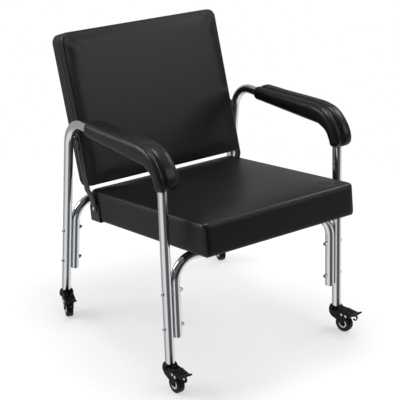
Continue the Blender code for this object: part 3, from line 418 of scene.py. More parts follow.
def make_vinyl():
    finish, tree, shader, place = new_finish("black_vinyl_on_foam", Roughness=0.38, Specular_IOR_Level=0.34)
    wave = add_node(tree, "ShaderNodeTexNoise", {"Vector": place}, Scale=1 / FOAM_WAVE, Detail=3.0)
    grain = add_node(tree, "ShaderNodeTexVoronoi", {"Vector": place}, Scale=1 / GRAIN)
    fine = add_node(tree, "ShaderNodeTexNoise", {"Vector": place}, Scale=3 / GRAIN, Detail=2.0)
    follow(tree, shader, wave.outputs["Fac"], colours=("070708", "0B0B0C"))
    follow(tree, shader, fine.outputs["Fac"], rough=(0.32, 0.44))
    soft = add_node(tree, "ShaderNodeBump", {"Height": wave.outputs["Fac"]}, Strength=0.12, Distance=1.5 * MM)
    pebble = add_node(
        tree, "ShaderNodeBump", {"Height": grain.outputs["Distance"], "Normal": soft.outputs[0]},
        Strength=0.12, Distance=0.15 * MM,
    )
    tree.links.new(pebble.outputs[0], shader.inputs["Normal"])
    return finish


VINYL = make_vinyl()
print("made", VINYL.name)

# %% [markdown]
# A cushion starts as the block of foam inside it: a plain box whose edges are rounded one group after
# another, because those of the real block differ. Some steps need a modifier, so a mesh can be handed to
# a passing object, and taken back as the modifier leaves it.

# %% Helpers for blocks of foam
HAIR = 0.1 * MM


def plain_box(low, high):
    """A box between two corners, ready for its edges to be rounded."""
    bm = bmesh.new()
    bmesh.ops.create_cube(bm, size=1.0)
    low = Vector(low)
    high = Vector(high)
    bmesh.ops.scale(bm, vec=high - low, verts=bm.verts)
    bmesh.ops.translate(bm, vec=(low + high) / 2, verts=bm.verts)
    return bm


def round_off(bm, rounding, chosen):
    """Rounds the edges that a test picks by their two ends, by a radius in a number of steps."""
    edges = [edge for edge in bm.edges if chosen(edge.verts[0].co, edge.verts[1].co)]
    bevel(bm, edges, *rounding)


def draft_object(bm):
    """A passing object that holds a mesh for a modifier."""
    mesh = bpy.data.meshes.new("draft")
    bm.to_mesh(mesh)
    bm.free()
    draft = bpy.data.objects.new("draft", mesh)
    scene.collection.objects.link(draft)
    return draft


def evaluated(draft):
    """The mesh that an object's modifiers leave, as a new bmesh. The object goes."""
    graph = bpy.context.evaluated_depsgraph_get()
    mesh = bpy.data.meshes.new_from_object(draft.evaluated_get(graph))
    bm = bmesh.new()
    bm.from_mesh(mesh)
    bpy.data.meshes.remove(mesh)
    bpy.data.objects.remove(draft)
    return bm


def with_modifier(bm, kind, **settings):
    """The mesh after one modifier."""
    draft = draft_object(bm)
    modifier = draft.modifiers.new(kind.lower(), kind)
    for name, value in settings.items():
        setattr(modifier, name, value)
    return evaluated(draft)


print("edges are picked to within", HAIR / MM, "mm")

# %% [markdown]
# The foam is held in tension by a sewn cover. A rounded box would have its size, but not its life, so the
# cover is blown up a little as cloth: the form is remeshed into even squares, the side that lies on the
# board is held, and air pressure swells the rest. A limit keeps each point near its pattern, as foam does,
# and a few rounds of averaging take out the creases that a cover on firm foam doesn't have.

# %% Helpers for swollen covers
CLOTH_FRAMES = 20
AIR_PRESSURE = 4.0
CALM_ROUNDS = 5


def add_cover(draft, still):
    """Makes an object's mesh a cloth under air pressure, with some of its points held."""
    pins = draft.vertex_groups.new(name="held")
    pins.add(sorted(still), 1.0, "REPLACE")
    cloth = draft.modifiers.new("cover", "CLOTH")
    cloth.settings.quality = 6
    cloth.settings.mass = 0.3
    cloth.settings.tension_stiffness = 40
    cloth.settings.compression_stiffness = 40
    cloth.settings.shear_stiffness = 20
    cloth.settings.bending_stiffness = 2.0
    cloth.settings.vertex_group_mass = "held"
    cloth.settings.use_pressure = True
    cloth.settings.uniform_pressure_force = AIR_PRESSURE
    cloth.settings.effector_weights.gravity = 0.0
    cloth.collision_settings.use_collision = False
    cloth.collision_settings.use_self_collision = False
    cloth.point_cache.frame_start = 1
    cloth.point_cache.frame_end = CLOTH_FRAMES


def blow_up(bm, held, limit):
    """Swells a closed form as cloth under air pressure. A test says which points stay where they are."""
    bm.normal_update()
    rest = [vert.co.copy() for vert in bm.verts]
    normals = [vert.normal.copy() for vert in bm.verts]
    still = {index for index, place in enumerate(rest) if held(place)}
    draft = draft_object(bm)
    add_cover(draft, still)
    for step in range(1, CLOTH_FRAMES + 1):
        scene.frame_set(step)
    swollen = evaluated(draft)
    scene.frame_set(1)
    lifts = [(vert.co - place).dot(normal) for vert, place, normal in zip(swollen.verts, rest, normals)]
    print("  the cover rose up to", round(max(lifts) / MM, 1), "mm before its limit")
    lifts = [limit * (1 - math.exp(-max(lift, 0.0) / limit)) for lift in lifts]
    near = [[edge.other_vert(vert).index for edge in vert.link_edges] for vert in swollen.verts]
    for turn in range(CALM_ROUNDS):
        lifts = [
            lift if index in still else (lift + sum(lifts[other] for other in around)) / (1 + len(around))
            for index, (lift, around) in enumerate(zip(lifts, near))
        ]
    for vert, place, normal, lift in zip(swollen.verts, rest, normals, lifts):
        vert.co = place + normal * lift
    return swollen


def padded_form(bm, voxel, held, limit):
    """Remeshes a form, swells it and smooths it once."""
    bm = with_modifier(bm, "REMESH", mode="VOXEL", voxel_size=voxel)
    bm = blow_up(bm, held, limit)
    return with_modifier(bm, "SUBSURF", levels=1, render_levels=1)


print("a cover swells over", CLOTH_FRAMES, "frames")

# %% [markdown]
# The panels of a cover meet in sewn seams. A remesh would lose anything so fine, so a seam comes after it:
# three loops are cut where the seam runs, the middle one sinks, and the two beside it rise into lips.

# %% Helpers for seams
CUT_MERGE = 0.01 * MM
LIP_RISE = 0.35
LIP_SLACK = 1.01
SIDE_SLOPE = 0.6


def cut(bm, place, normal):
    """Cuts new edges where a plane passes through a mesh."""
    geometry = bm.verts[:] + bm.edges[:] + bm.faces[:]
    bmesh.ops.bisect_plane(bm, geom=geometry, dist=CUT_MERGE, plane_co=place, plane_no=normal)


def sewn_groove(bm, place, normal, width, depth):
    """Sinks a seam round the sides of a cushion, in a plane that cuts through it."""
    place = Vector(place)
    normal = Vector(normal)
    for offset in (-width, 0.0, width):
        cut(bm, place + normal * offset, normal)
    bm.normal_update()
    for vert in bm.verts:
        off = abs((vert.co - place).dot(normal))
        if off < width * LIP_SLACK and abs(vert.normal.dot(normal)) < SIDE_SLOPE:
            vert.co -= vert.normal * depth * (1 - (1 + LIP_RISE) * off / width)


print("the lips of a seam rise by", LIP_RISE, "of its depth")

# %% [markdown]
# The seat is a boxy cushion on a board. Its top panel turns over the edge, and a seam joins it to the band
# that runs round the sides. The band is pulled straight over the foam's edge and stapled below, so it is
# held, and only the panel swells into a low crown.

# %% Seat cushion
SEAT_FRONT = -520.3 * MM
SEAT_DEPTH = 548 * MM
SEAT_HALF = (seat_high.x - seat_low.x) / 2
SEAT_BASE = -36.4 * MM
SEAT_HEIGHT = 89.4 * MM
SEAT_VOXEL = 5.7 * MM
SEAT_CROWN = 5 * MM
SEAT_SEAM_DROP = 11 * MM
SEAT_GROOVE = (1.4 * MM, 0.6 * MM)
CROWN_ROOM = 0.4
SEAM_MARGIN = 4 * MM
CUSHION_SHARP = 60
# A rounding is a radius and a number of steps
SEAT_ROUNDING = {"corners": (15 * MM, 6), "top": (10 * MM, 5), "bottom": (5 * MM, 3)}


def seat_cushion():
    low = (-SEAT_HALF, SEAT_FRONT, SEAT_BASE)
    high = (SEAT_HALF, SEAT_FRONT + SEAT_DEPTH, SEAT_BASE + SEAT_HEIGHT - CROWN_ROOM * SEAT_CROWN)
    bm = plain_box(low, high)
    round_off(bm, SEAT_ROUNDING["corners"], lambda a, b: abs(a.z - b.z) > SEAT_HEIGHT / 2)
    round_off(bm, SEAT_ROUNDING["top"], lambda a, b: min(a.z, b.z) > high[2] - HAIR)
    round_off(bm, SEAT_ROUNDING["bottom"], lambda a, b: max(a.z, b.z) < low[2] + HAIR)
    seam = high[2] - SEAT_SEAM_DROP
    bm = padded_form(bm, SEAT_VOXEL, lambda place: place.z < seam + SEAM_MARGIN, SEAT_CROWN)
    sewn_groove(bm, (0, 0, seam), (0, 0, 1), *SEAT_GROOVE)
    return placed(bm, SEAT_PLACE)


seat = make_piece(
    "seat_upholstery", seat_cushion(), VINYL, "seat", "black_vinyl", "seat_cushion", sharp=CUSHION_SHARP
)
print(seat.name, "has", len(seat.data.polygons), "faces")

# %% [markdown]
# The back is thinner, with rounder corners at the top than at the bottom. Its front panel rolls over the
# edge and the seam lies on the side, close behind the front. Behind, the lower edge is rounded off, where
# the cover is pulled round the board. It is made as the seat is, with roundings of its own. The rear
# lower edge is rounded before the lower corners, so that the two run into each other.

# %% Back cushion
back_low, back_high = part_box("back_cushion")
BACK_HALF = (back_high.x - back_low.x) / 2
BACK_FRONT = -21.6 * MM
BACK_THICKNESS = 63.5 * MM
BACK_BOTTOM = -140.5 * MM
BACK_HEIGHT = 423.5 * MM
BACK_VOXEL = 5 * MM
BACK_CROWN = 4 * MM
BACK_SEAM = 20 * MM
BACK_GROOVE = (1.5 * MM, 1.1 * MM)
BACK_ROUNDING = {
    "upper corners": (24 * MM, 7),
    "lower rear edge": (22 * MM, 6),
    "lower corners": (19 * MM, 6),
    "front": (18 * MM, 7),
}


def back_cushion():
    low = (-BACK_HALF, BACK_FRONT + CROWN_ROOM * BACK_CROWN, BACK_BOTTOM)
    high = (BACK_HALF, BACK_FRONT + BACK_THICKNESS, BACK_BOTTOM + BACK_HEIGHT)
    bm = plain_box(low, high)
    middle = BACK_BOTTOM + BACK_HEIGHT / 2
    along = BACK_THICKNESS / 2

    def at_bottom(a, b):
        return max(a.z, b.z) < low[2] + HAIR

    round_off(bm, BACK_ROUNDING["upper corners"], lambda a, b: abs(a.y - b.y) > along and a.z > middle)
    round_off(
        bm, BACK_ROUNDING["lower rear edge"], lambda a, b: min(a.y, b.y) > high[1] - HAIR and at_bottom(a, b)
    )
    round_off(
        bm, BACK_ROUNDING["lower corners"], lambda a, b: abs(a.y - b.y) > along / 2 and at_bottom(a, b)
    )
    round_off(bm, BACK_ROUNDING["front"], lambda a, b: max(a.y, b.y) < low[1] + HAIR)
    seam = low[1] + BACK_SEAM
    bm = padded_form(bm, BACK_VOXEL, lambda place: place.y > seam - SEAM_MARGIN, BACK_CROWN)
    sewn_groove(bm, (0, seam, 0), (0, 1, 0), *BACK_GROOVE)
    return placed(bm, BACK_PLACE)


back = make_piece(
    "back_upholstery", back_cushion(), VINYL, "back", "black_vinyl", "back_cushion", "back_board",
    sharp=CUSHION_SHARP,
)
print(back.name, "has", len(back.data.polygons), "faces")

# %% [markdown]
# An arm pad is a long block of foam that swallows the rail and follows it down the front bend. Seen from
# the side it has a long straight top, a round nose and a kink underneath. It could be carved from a box,
# but such an outline is easier to correct as a curve, so it is drawn as one and given the pad's width.

# %% Outline of the arm pads
pad_low, pad_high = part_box("arm_pad_left")
PAD_WIDTH = pad_high.x - pad_low.x
PAD_ROUND = 15 * MM
PAD_CORNER = Vector((0, leg_y(-1, RAIL_HEIGHT), RAIL_HEIGHT))
PAD_SHORT = 6
PAD_REAR = (pad_high.y - PAD_CORNER.y) / MM - PAD_SHORT
# The outline runs from the rear end over the top, round the nose and back underneath: millimetres behind
# and above the corner where leg and rail would meet, and whether the line turns sharply there
PAD_OUTLINE = (
    (PAD_REAR - 10, 27, False),
    (PAD_REAR - 30, 29, False),
    (235, 32, False),
    (166, 36.5, False),
    (100, 40.5, False),
    (60, 41, False),
    (21, 33, False),
    (-12, 9.5, False),
    (-30, -14, False),
    (-37, -33, False),
    (-37, -47, False),
    (-30, -58, False),
    (-8, -63.5, True),
    (3, -43, False),
    (15, -26, False),
    (46, -12, True),
    (PAD_REAR - 30, -12, True),
    (PAD_REAR - 10, -11, False),
    (PAD_REAR - 1, -3, False),
    (PAD_REAR, 8, False),
    (PAD_REAR - 1, 19, False),
)


def pad_block():
    """The pad's outline with its width, standing over the middle plane of its rail."""
    curve = bpy.data.curves.new("pad_outline", "CURVE")
    curve.dimensions = "2D"
    curve.fill_mode = "BOTH"
    curve.extrude = PAD_WIDTH / 2 - PAD_ROUND
    curve.bevel_depth = PAD_ROUND
    curve.bevel_resolution = 4
    curve.offset = -PAD_ROUND
    spline = curve.splines.new("BEZIER")
    spline.bezier_points.add(len(PAD_OUTLINE) - 1)
    for point, (behind, above, sharp) in zip(spline.bezier_points, PAD_OUTLINE):
        point.co = (behind * MM, above * MM, 0.0)
        point.handle_left_type = point.handle_right_type = "VECTOR" if sharp else "AUTO"
    spline.use_cyclic_u = True
    drawn = bpy.data.objects.new("pad_outline", curve)
    scene.collection.objects.link(drawn)
    bm = evaluated(drawn)
    bmesh.ops.remove_doubles(bm, verts=bm.verts, dist=CUT_MERGE)
    bmesh.ops.recalc_face_normals(bm, faces=bm.faces)
    upright = Matrix(((0, 0, 1, 0), (1, 0, 0, 0), (0, 1, 0, 0), (0, 0, 0, 1)))
    return placed(bm, Matrix.Translation(PAD_CORNER) @ upright)


print("a pad's outline has", len(PAD_OUTLINE), "points")

# %% [markdown]
# The two pads are sewn differently. On the right pad a deep seam draws the cover in along the inner edge
# of the top and leaves two rolls. On the left pad a softer crease on the outer edge starts only where the
# cover turns the nose. Both end in two lobes where the tube leaves the pad. Sculpting would do, but a few
# cuts along the pad, sunk most in the middle, give the same crease on every run.

# %% Seams of the arm pads
CHANNEL_WIDTH = 12 * MM
CHANNEL_CUTS = (-1, -0.66, -0.36, -0.15, 0, 0.15, 0.36, 0.66, 1)
TOP_SLOPE = 0.15
FRONT_SLOPE = -0.2
UNDER_SLOPE = -0.8
RAIL_CLEARANCE = 8 * MM
NOSE_START = 75 * MM
NOSE_RUN = 60 * MM
REAR_SHARE = 0.35
REAR_INSET = 8 * MM
REAR_RUN = 40 * MM
PAD_END = RAIL_HEIGHT - 50 * MM
NOTCH_RUN = 10 * MM
LOBE_NOTCH = (8 * MM, 9 * MM, 6 * MM)


def on_top(vert):
    """Whether a point lies on the top and front of a pad, away from its underside and its rear end."""
    towards_front = vert.normal.y < FRONT_SLOPE and vert.normal.z > UNDER_SLOPE
    return vert.normal.z > TOP_SLOPE or towards_front


def above_rail(place):
    """Whether a place lies above the middle of the rail, or in front of the middle of the leg."""
    return place.z > RAIL_HEIGHT + RAIL_CLEARANCE or place.y < leg_y(-1, place.z) - RAIL_CLEARANCE


def round_the_nose(place):
    """From 0 on the straight part of a pad to 1 on its nose."""
    ahead = (PAD_CORNER.y + NOSE_START - place.y) / NOSE_RUN
    return min(1.0, max(0.0, ahead))


def all_along(place):
    """1 along a pad, and less at its rear end."""
    return min(1.0, REAR_SHARE + (pad_high.y - REAR_INSET - place.y) / REAR_RUN)


def rolled_channel(bm, seam, depth, share):
    """Sinks a crease along a pad, which leaves a roll on either side. Its share may change along the pad."""
    for step in CHANNEL_CUTS:
        cut(bm, (seam + step * CHANNEL_WIDTH, 0, 0), (1, 0, 0))
    bm.normal_update()
    sinks = {}
    for vert in bm.verts:
        off = abs(vert.co.x - seam) / CHANNEL_WIDTH
        if off < 1 and on_top(vert):
            down = Vector((0, vert.normal.y, vert.normal.z)).normalized()
            sinks[vert] = down * depth * share(vert.co) * (1 - off) ** 2
    for vert, sink in sinks.items():
        vert.co -= sink


def notched_end(bm):
    """Parts the lower end of a pad into two lobes."""
    inward, width, depth = LOBE_NOTCH
    for vert in bm.verts:
        off = abs(vert.co.x + inward) / width
        if vert.co.z < PAD_END and off < 1:
            fall = min(1.0, (PAD_END - vert.co.z) / NOTCH_RUN)
            vert.co.z += depth * fall * (1 - off * off) ** 2


print("a crease is", round(2 * CHANNEL_WIDTH / MM), "mm wide from roll to roll")

# %% [markdown]
# Then a pad is put together in the order of the real one. The block is covered and swollen as the cushions
# are, with the sewn line held, and it is made fuller on the inner side of the chair. The crease follows,
# then a few rounds of smoothing that make it look pulled rather than cut, and last the lobes.

# %% Arm pads
PAD_VOXEL = 4 * MM
PAD_CROWN = 4 * MM
SEWN_BAND = 2.5 * MM
INNER_FULLNESS = 1.2
CHANNEL_ROUNDS = 6
# Where the crease lies beside the middle of the rail, how deep it is, and how it runs along the pad
CREASES = {"left": (-14 * MM, 5 * MM, round_the_nose), "right": (-9.5 * MM, 8.5 * MM, all_along)}


def smooth(bm, rounds):
    """Draws every point towards its neighbours, a few times over."""
    for turn in range(rounds):
        bmesh.ops.smooth_vert(
            bm, verts=bm.verts, factor=0.5, use_axis_x=True, use_axis_y=True, use_axis_z=True
        )


def arm_pad(side, seam, depth, share):
    """A pad over the middle plane of its rail, fuller on the inner side of the chair."""

    def held(place):
        return abs(place.x - seam) < SEWN_BAND and above_rail(place)

    bm = padded_form(pad_block(), PAD_VOXEL, held, PAD_CROWN)
    inner = [vert for vert in bm.verts if vert.co.x * side < 0]
    bmesh.ops.scale(bm, vec=(INNER_FULLNESS, 1, 1), verts=inner)
    rolled_channel(bm, seam, depth, share)
    smooth(bm, CHANNEL_ROUNDS)
    notched_end(bm)
    return bm


for side_name, side in SIDES:
    bm = placed(arm_pad(side, *CREASES[side_name]), Matrix.Translation((MID_X + side * LEG_X, 0, 0)))
    pad = make_piece(
        f"arm_upholstery_{side_name}", bm, VINYL, "frame", "black_vinyl", f"arm_pad_{side_name}",
        sharp=CUSHION_SHARP,
    )
    print(pad.name, "has", len(pad.data.polygons), "faces")

# %% [markdown]
# The flat steel that carries the back and the seat is powder coated black. The coat is slightly
# orange-peeled and satin, and it is a little paler than the vinyl beside it. The peel is far too low to
# model, so a fine bump stands for it.

# %% Black powder coat
COAT_PEEL = 1.2 * MM

POWDER_COAT = mottled_finish(
    "black_powder_coated_steel", COAT_PEEL, 2.0, ("1A1B1C", "28292A"), (0.3, 0.42), (0.15, 0.1 * MM),
    Roughness=0.35, Specular_IOR_Level=0.5,
)
print("made", POWDER_COAT.name)

# %% [markdown]
# A strap on each side of the back turns on the stud of the rear leg and reaches down to the seat's hinge.
# It is a flat bar with round ends and one joggle, which brings its foot beside the seat's bracket. A
# circle that is pulled apart gives the bar's outline, two cuts mark the joggle, and the foot is slid
# inwards.

# %% Back straps
STRAP_WIDTH = 25 * MM
STRAP_THICKNESS = 4 * MM
STRAP_STEPS = 32
strap_low, strap_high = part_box("back_strap_right")
STRAP_INNER = strap_high.x - MID_X - STRAP_THICKNESS
STRAP_REACH = (HINGE_AXIS - STUD_AXIS).length
JOGGLE_TOP = -150 * MM
JOGGLE_FOOT = -172 * MM
JOGGLE_STEP = strap_high.x - STRAP_THICKNESS - strap_low.x
EDGE_BREAK = 0.6 * MM
EDGE_ANGLE = math.radians(40)


def break_edges(bm, size=EDGE_BREAK, segments=2):
    """Takes the sharpness off every edge that turns by more than an angle."""
    edges = [edge for edge in bm.edges if len(edge.link_faces) == 2 and edge.calc_face_angle() > EDGE_ANGLE]
    bevel(bm, edges, size, segments)
    return bm


def back_strap(side):
    bm = bmesh.new()
    stand = Matrix.Translation((0, 0, -STRAP_REACH)) @ Matrix.Rotation(math.pi / 2, 4, "Y")
    bmesh.ops.create_circle(bm, cap_ends=True, segments=STRAP_STEPS, radius=STRAP_WIDTH / 2, matrix=stand)
    upper = [vert for vert in bm.verts if vert.co.z > -STRAP_REACH + HAIR]
    bmesh.ops.translate(bm, vec=(0, 0, STRAP_REACH), verts=upper)
    for height in (JOGGLE_TOP, JOGGLE_FOOT):
        cut(bm, (0, 0, height), (0, 0, 1))
    foot = [vert for vert in bm.verts if vert.co.z < JOGGLE_FOOT + HAIR]
    bmesh.ops.translate(bm, vec=(-side * JOGGLE_STEP, 0, 0), verts=foot)
    front = bmesh.ops.extrude_face_region(bm, geom=bm.faces[:])["geom"]
    bmesh.ops.translate(bm, vec=(side * STRAP_THICKNESS, 0, 0), verts=only(bmesh.types.BMVert, front))
    bmesh.ops.recalc_face_normals(bm, faces=bm.faces)
    bmesh.ops.translate(bm, vec=(side * STRAP_INNER, 0, 0), verts=bm.verts)
    return placed(break_edges(bm), BACK_PLACE)


for side_name, side in SIDES:
    strap = f"back_strap_{side_name}"
    make_piece(f"flat_strap_{side_name}", back_strap(side), POWDER_COAT, "back", "black_steel", strap)
print("straps reach", round(STRAP_REACH / MM), "mm from stud to hinge")

# %% [markdown]
# Studs, hinge bolts and strap screws are turned parts again. The stud has a bright shoulder at the leg,
# and a thick washer keeps the strap off it. The hinge bolt has the low dome that shows as a bright dot
# beside the seat.

# %% Studs, hinge bolts and screws
STRAP_OUTER = STRAP_INNER + STRAP_THICKNESS
LEG_INNER = LEG_X - TUBE_RADIUS
STUD_LENGTH = LEG_INNER - STRAP_INNER
STUD_ROOT = 4 * MM
SHANK_RADIUS = 4 * MM
SHOULDER_RADIUS = 6.6 * MM
WASHER_BORE = 4.3 * MM
WASHER_RIM = 11 * MM
FOOT_OUTER = STRAP_OUTER - JOGGLE_STEP
HINGE_HEAD = (5 * MM, 2.6 * MM)
SCREW_HEAD = (4.5 * MM, 2.4 * MM)
SCREW_DROPS = {"upper": 35 * MM, "lower": 100 * MM}


def sideways(side, reach, place):
    """A placing that stands a turned part on a side face, pointing outwards."""
    return place @ Matrix.Translation((side * reach, 0, 0)) @ Matrix.Rotation(side * math.pi / 2, 4, "Y")


def collar_stud():
    """The stud's shank, from inside the strap to inside the leg, with a narrow bright shoulder at the leg."""
    length = STUD_LENGTH
    return lathe([
        (0.0, -3 * MM), (3.4 * MM, -3 * MM), (SHANK_RADIUS, -2.4 * MM), (SHANK_RADIUS, length - 2.8 * MM),
        (6.2 * MM, length - 2.8 * MM), (SHOULDER_RADIUS, length - 2.4 * MM),
        (SHOULDER_RADIUS, length - 0.2 * MM), (SHANK_RADIUS, length - 0.2 * MM),
        (SHANK_RADIUS, length + STUD_ROOT), (0.0, length + STUD_ROOT),
    ])


def spacer_washer():
    """A thick black washer that rides on the stud beside the strap."""
    low = STRAP_THICKNESS + 0.3 * MM
    high = STUD_LENGTH - 3.1 * MM
    return lathe([
        (WASHER_BORE, low), (WASHER_RIM - 0.8 * MM, low), (WASHER_RIM, low + 0.8 * MM),
        (WASHER_RIM, high - 1.2 * MM), (WASHER_RIM - 1.2 * MM, high), (WASHER_BORE, high), (WASHER_BORE, low),
    ])


def pan_head(radius, height):
    """A screw head with a cross recess that is left as a shallow dish."""
    return lathe([
        (0.0, 0.0), (radius, 0.0), *dome(radius, height, 0.3 * height)[:-2],
        (0.3 * radius, 1.28 * height), (0.2 * radius, 0.9 * height), (0.0, 0.85 * height),
    ])


for side_name, side in SIDES:
    stud = placed(collar_stud(), sideways(side, STRAP_INNER, BACK_PLACE))
    make_piece(f"collar_stud_{side_name}", stud, ZINC, "frame", "zinc_steel", f"pivot_stud_{side_name}")
    spacer = placed(spacer_washer(), sideways(side, STRAP_INNER, BACK_PLACE))
    make_piece(f"spacer_washer_{side_name}", spacer, POWDER_COAT, "frame", "black_steel")
    hinge = placed(bolt_head(*HINGE_HEAD), sideways(side, FOOT_OUTER, SEAT_PLACE))
    make_piece(f"hinge_head_{side_name}", hinge, ZINC, "seat", "zinc_steel", f"hinge_bolt_{side_name}")
    for level, drop in SCREW_DROPS.items():
        spot = BACK_PLACE @ Matrix.Translation((0, 0, -drop))
        screw = placed(pan_head(*SCREW_HEAD), sideways(side, STRAP_OUTER, spot))
        name = f"strap_screw_{side_name}_{level}"
        make_piece(f"pan_head_{side_name}_{level}", screw, POWDER_COAT, "back", "black_steel", name)
print("the studs bridge", round(STUD_LENGTH / MM, 1), "mm from the straps to the legs")

# %% [markdown]
# At each rear corner of the seat an angle bracket is screwed under the board and stands up beside the
# cushion. It is one plate folded along its length: an edge is drawn out into the flange and then up into
# the side, the fold is rounded, and the sheet gets its thickness.

# %% Seat brackets
BRACKET_THICKNESS = 3 * MM
BRACKET_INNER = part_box("seat_bracket_right")[1].x - MID_X - BRACKET_THICKNESS
BRACKET_REAR = 28 * MM
BRACKET_FRONT = -18 * MM
BRACKET_TOP = 13 * MM
BRACKET_BREAK = 0.4 * MM
FLANGE_FACE = SEAT_BASE - 0.3 * MM
FLANGE_WIDTH = 30 * MM
FOLD_ROUNDING = (2.5 * MM, 4)
TIP_ROUNDING = (12 * MM, 5)


def seat_bracket(side):
    """The folded plate, from the free edge of its flange to the round top of its side."""
    bm = bmesh.new()
    free_x = BRACKET_INNER + BRACKET_THICKNESS - FLANGE_WIDTH
    ends = [bm.verts.new((free_x, y, FLANGE_FACE)) for y in (BRACKET_FRONT, BRACKET_REAR)]
    fold = draw_out(bm, [bm.edges.new(ends)], (FLANGE_WIDTH - BRACKET_THICKNESS, 0, 0))
    draw_out(bm, fold, (0, 0, BRACKET_TOP - FLANGE_FACE))
    bevel(bm, fold, *FOLD_ROUNDING)
    tips = [vert for vert in bm.verts if vert.co.z > BRACKET_TOP - HAIR]
    bevel(bm, tips, *TIP_ROUNDING, affect="VERTICES")
    bmesh.ops.recalc_face_normals(bm, faces=bm.faces)
    sheet = max(bm.faces, key=lambda face: face.calc_center_median().z)
    if sheet.normal.x < 0:
        bmesh.ops.reverse_faces(bm, faces=bm.faces)
    bmesh.ops.solidify(bm, geom=bm.faces[:], thickness=-BRACKET_THICKNESS)
    bmesh.ops.recalc_face_normals(bm, faces=bm.faces)
    break_edges(bm, BRACKET_BREAK)
    if side < 0:
        bmesh.ops.scale(bm, vec=(-1, 1, 1), verts=bm.verts)
        bmesh.ops.recalc_face_normals(bm, faces=bm.faces)
    return placed(bm, SEAT_PLACE)


for side_name, side in SIDES:
    angle = f"seat_bracket_{side_name}"
    make_piece(f"angle_bracket_{side_name}", seat_bracket(side), POWDER_COAT, "seat", "black_steel", angle)
print("the brackets stand", round(BRACKET_INNER / MM, 1), "mm beside the middle")

# %% [markdown]
# The casters are moulded in black nylon: smooth, fairly glossy, with a trace of the mould's texture. Such
# small round parts catch every lamp and would turn grey, so their specular level is low, and the texture
# breaks the highlights up a little.

# %% Moulded black nylon
MOULD_TEXTURE = 0.9 * MM

NYLON = mottled_finish(
    "moulded_black_nylon", MOULD_TEXTURE, 2.0, ("060606", "0B0B0B"), (0.2, 0.32), (0.08, 0.1 * MM),
    Roughness=0.24, Specular_IOR_Level=0.16,
)
print("made", NYLON.name)

# %% [markdown]
# A caster's fork is one moulding: a dome that hugs the end of the leg, and two cheeks that taper down to
# the axle. In a moulding all these run into each other with small fillets. Modelling every fillet would
# take long, so the dome is spun, the cheeks are drawn as outlines with a thickness, and a fine voxel
# remesh melts them together. A few rounds of smoothing then give the fillets.

# %% Caster forks
FORK_MELT = (0.9 * MM, 3)
HOOD_STEPS = 48
CHEEK_INNER = 10.7 * MM
CHEEK_OUTER = 13.6 * MM
BRIDGE_HALF = 12 * MM
SHOULDER_HALF = 15.6 * MM
# The hood is drawn by radius and height, the rest by how far they lie behind the swivel and their height
DOME_OUTLINE = (
    (13.9, 71.4), (14.7, 72), (16.6, 71.2), (18.5, 68.8), (20, 65.2), (20.6, 60.6), (20.4, 55), (19.2, 53.5),
    (4.7, 53.5), (4.7, 64), (13.9, 64), (13.9, 71.4),
)
CHEEK_OUTLINE = (
    (17, 61), (15.5, 51), (12.5, 45), (5, 38.5), (-15, 31.5), (-20.5, 27.5), (-24, 23.5), (-26.5, 21),
    (-29, 20), (-32, 20.4), (-34.2, 22.6), (-35.2, 26), (-36, 31), (-39, 37), (-45, 45), (-50, 50.5),
    (-50.5, 55), (-48, 59), (-40, 60.2), (-20, 61),
)
BRIDGE_OUTLINE = ((14, 45), (17, 61), (-30, 60), (-30, 54), (8, 53.5), (11, 45))
SHOULDER_OUTLINE = ((0, 66.5), (-20, 66.5), (-29.5, 66.5), (-29.5, 58), (0, 57))


def plate(outline, low, high):
    """An outline of (y, z) in millimetres, given a thickness from one x to another."""
    bm = bmesh.new()
    face = bm.faces.new([bm.verts.new((low, y * MM, z * MM)) for y, z in outline])
    front = bmesh.ops.extrude_face_region(bm, geom=[face])["geom"]
    bmesh.ops.translate(bm, vec=(high - low, 0, 0), verts=only(bmesh.types.BMVert, front))
    bmesh.ops.recalc_face_normals(bm, faces=bm.faces)
    return bm


def joined(*parts):
    """Several closed forms in one bmesh."""
    whole = bmesh.new()
    for part in parts:
        mesh = bpy.data.meshes.new("draft")
        part.to_mesh(mesh)
        part.free()
        whole.from_mesh(mesh)
        bpy.data.meshes.remove(mesh)
    return whole


def melted(bm, voxel, rounds):
    """Melts closed forms that overlap into one skin, and softens its inner and outer corners."""
    bm = with_modifier(bm, "REMESH", mode="VOXEL", voxel_size=voxel)
    smooth(bm, rounds)
    return bm


def caster_fork():
    hood = lathe([(radius * MM, height * MM) for radius, height in DOME_OUTLINE], steps=HOOD_STEPS)
    cheeks = [
        plate(CHEEK_OUTLINE, CHEEK_INNER, CHEEK_OUTER),
        plate(CHEEK_OUTLINE, -CHEEK_OUTER, -CHEEK_INNER),
    ]
    bridge = plate(BRIDGE_OUTLINE, -BRIDGE_HALF, BRIDGE_HALF)
    shoulder = plate(SHOULDER_OUTLINE, -SHOULDER_HALF, SHOULDER_HALF)
    return melted(joined(hood, *cheeks, bridge, shoulder), *FORK_MELT)


def caster_place(place):
    """Where a caster stands, and how far it is turned: unturned, its wheel lies towards -Y."""
    swivel = joints[f"caster_swivel_{place}"]["pos_m"]
    axle = joints[f"wheel_roll_{place}"]["axis"]
    turned = Matrix.Rotation(math.atan2(axle[1], axle[0]), 4, "Z")
    return Matrix.Translation((swivel[0], swivel[1], 0)) @ turned


caster_places = {place: caster_place(place) for place in CORNERS}
for place, matrix in caster_places.items():
    fork = make_piece(
        f"moulded_fork_{place}", placed(caster_fork(), matrix), NYLON, f"swivel_{place}", "black_plastic",
        f"caster_fork_{place}",
    )
print(fork.name, "has", len(fork.data.polygons), "faces")
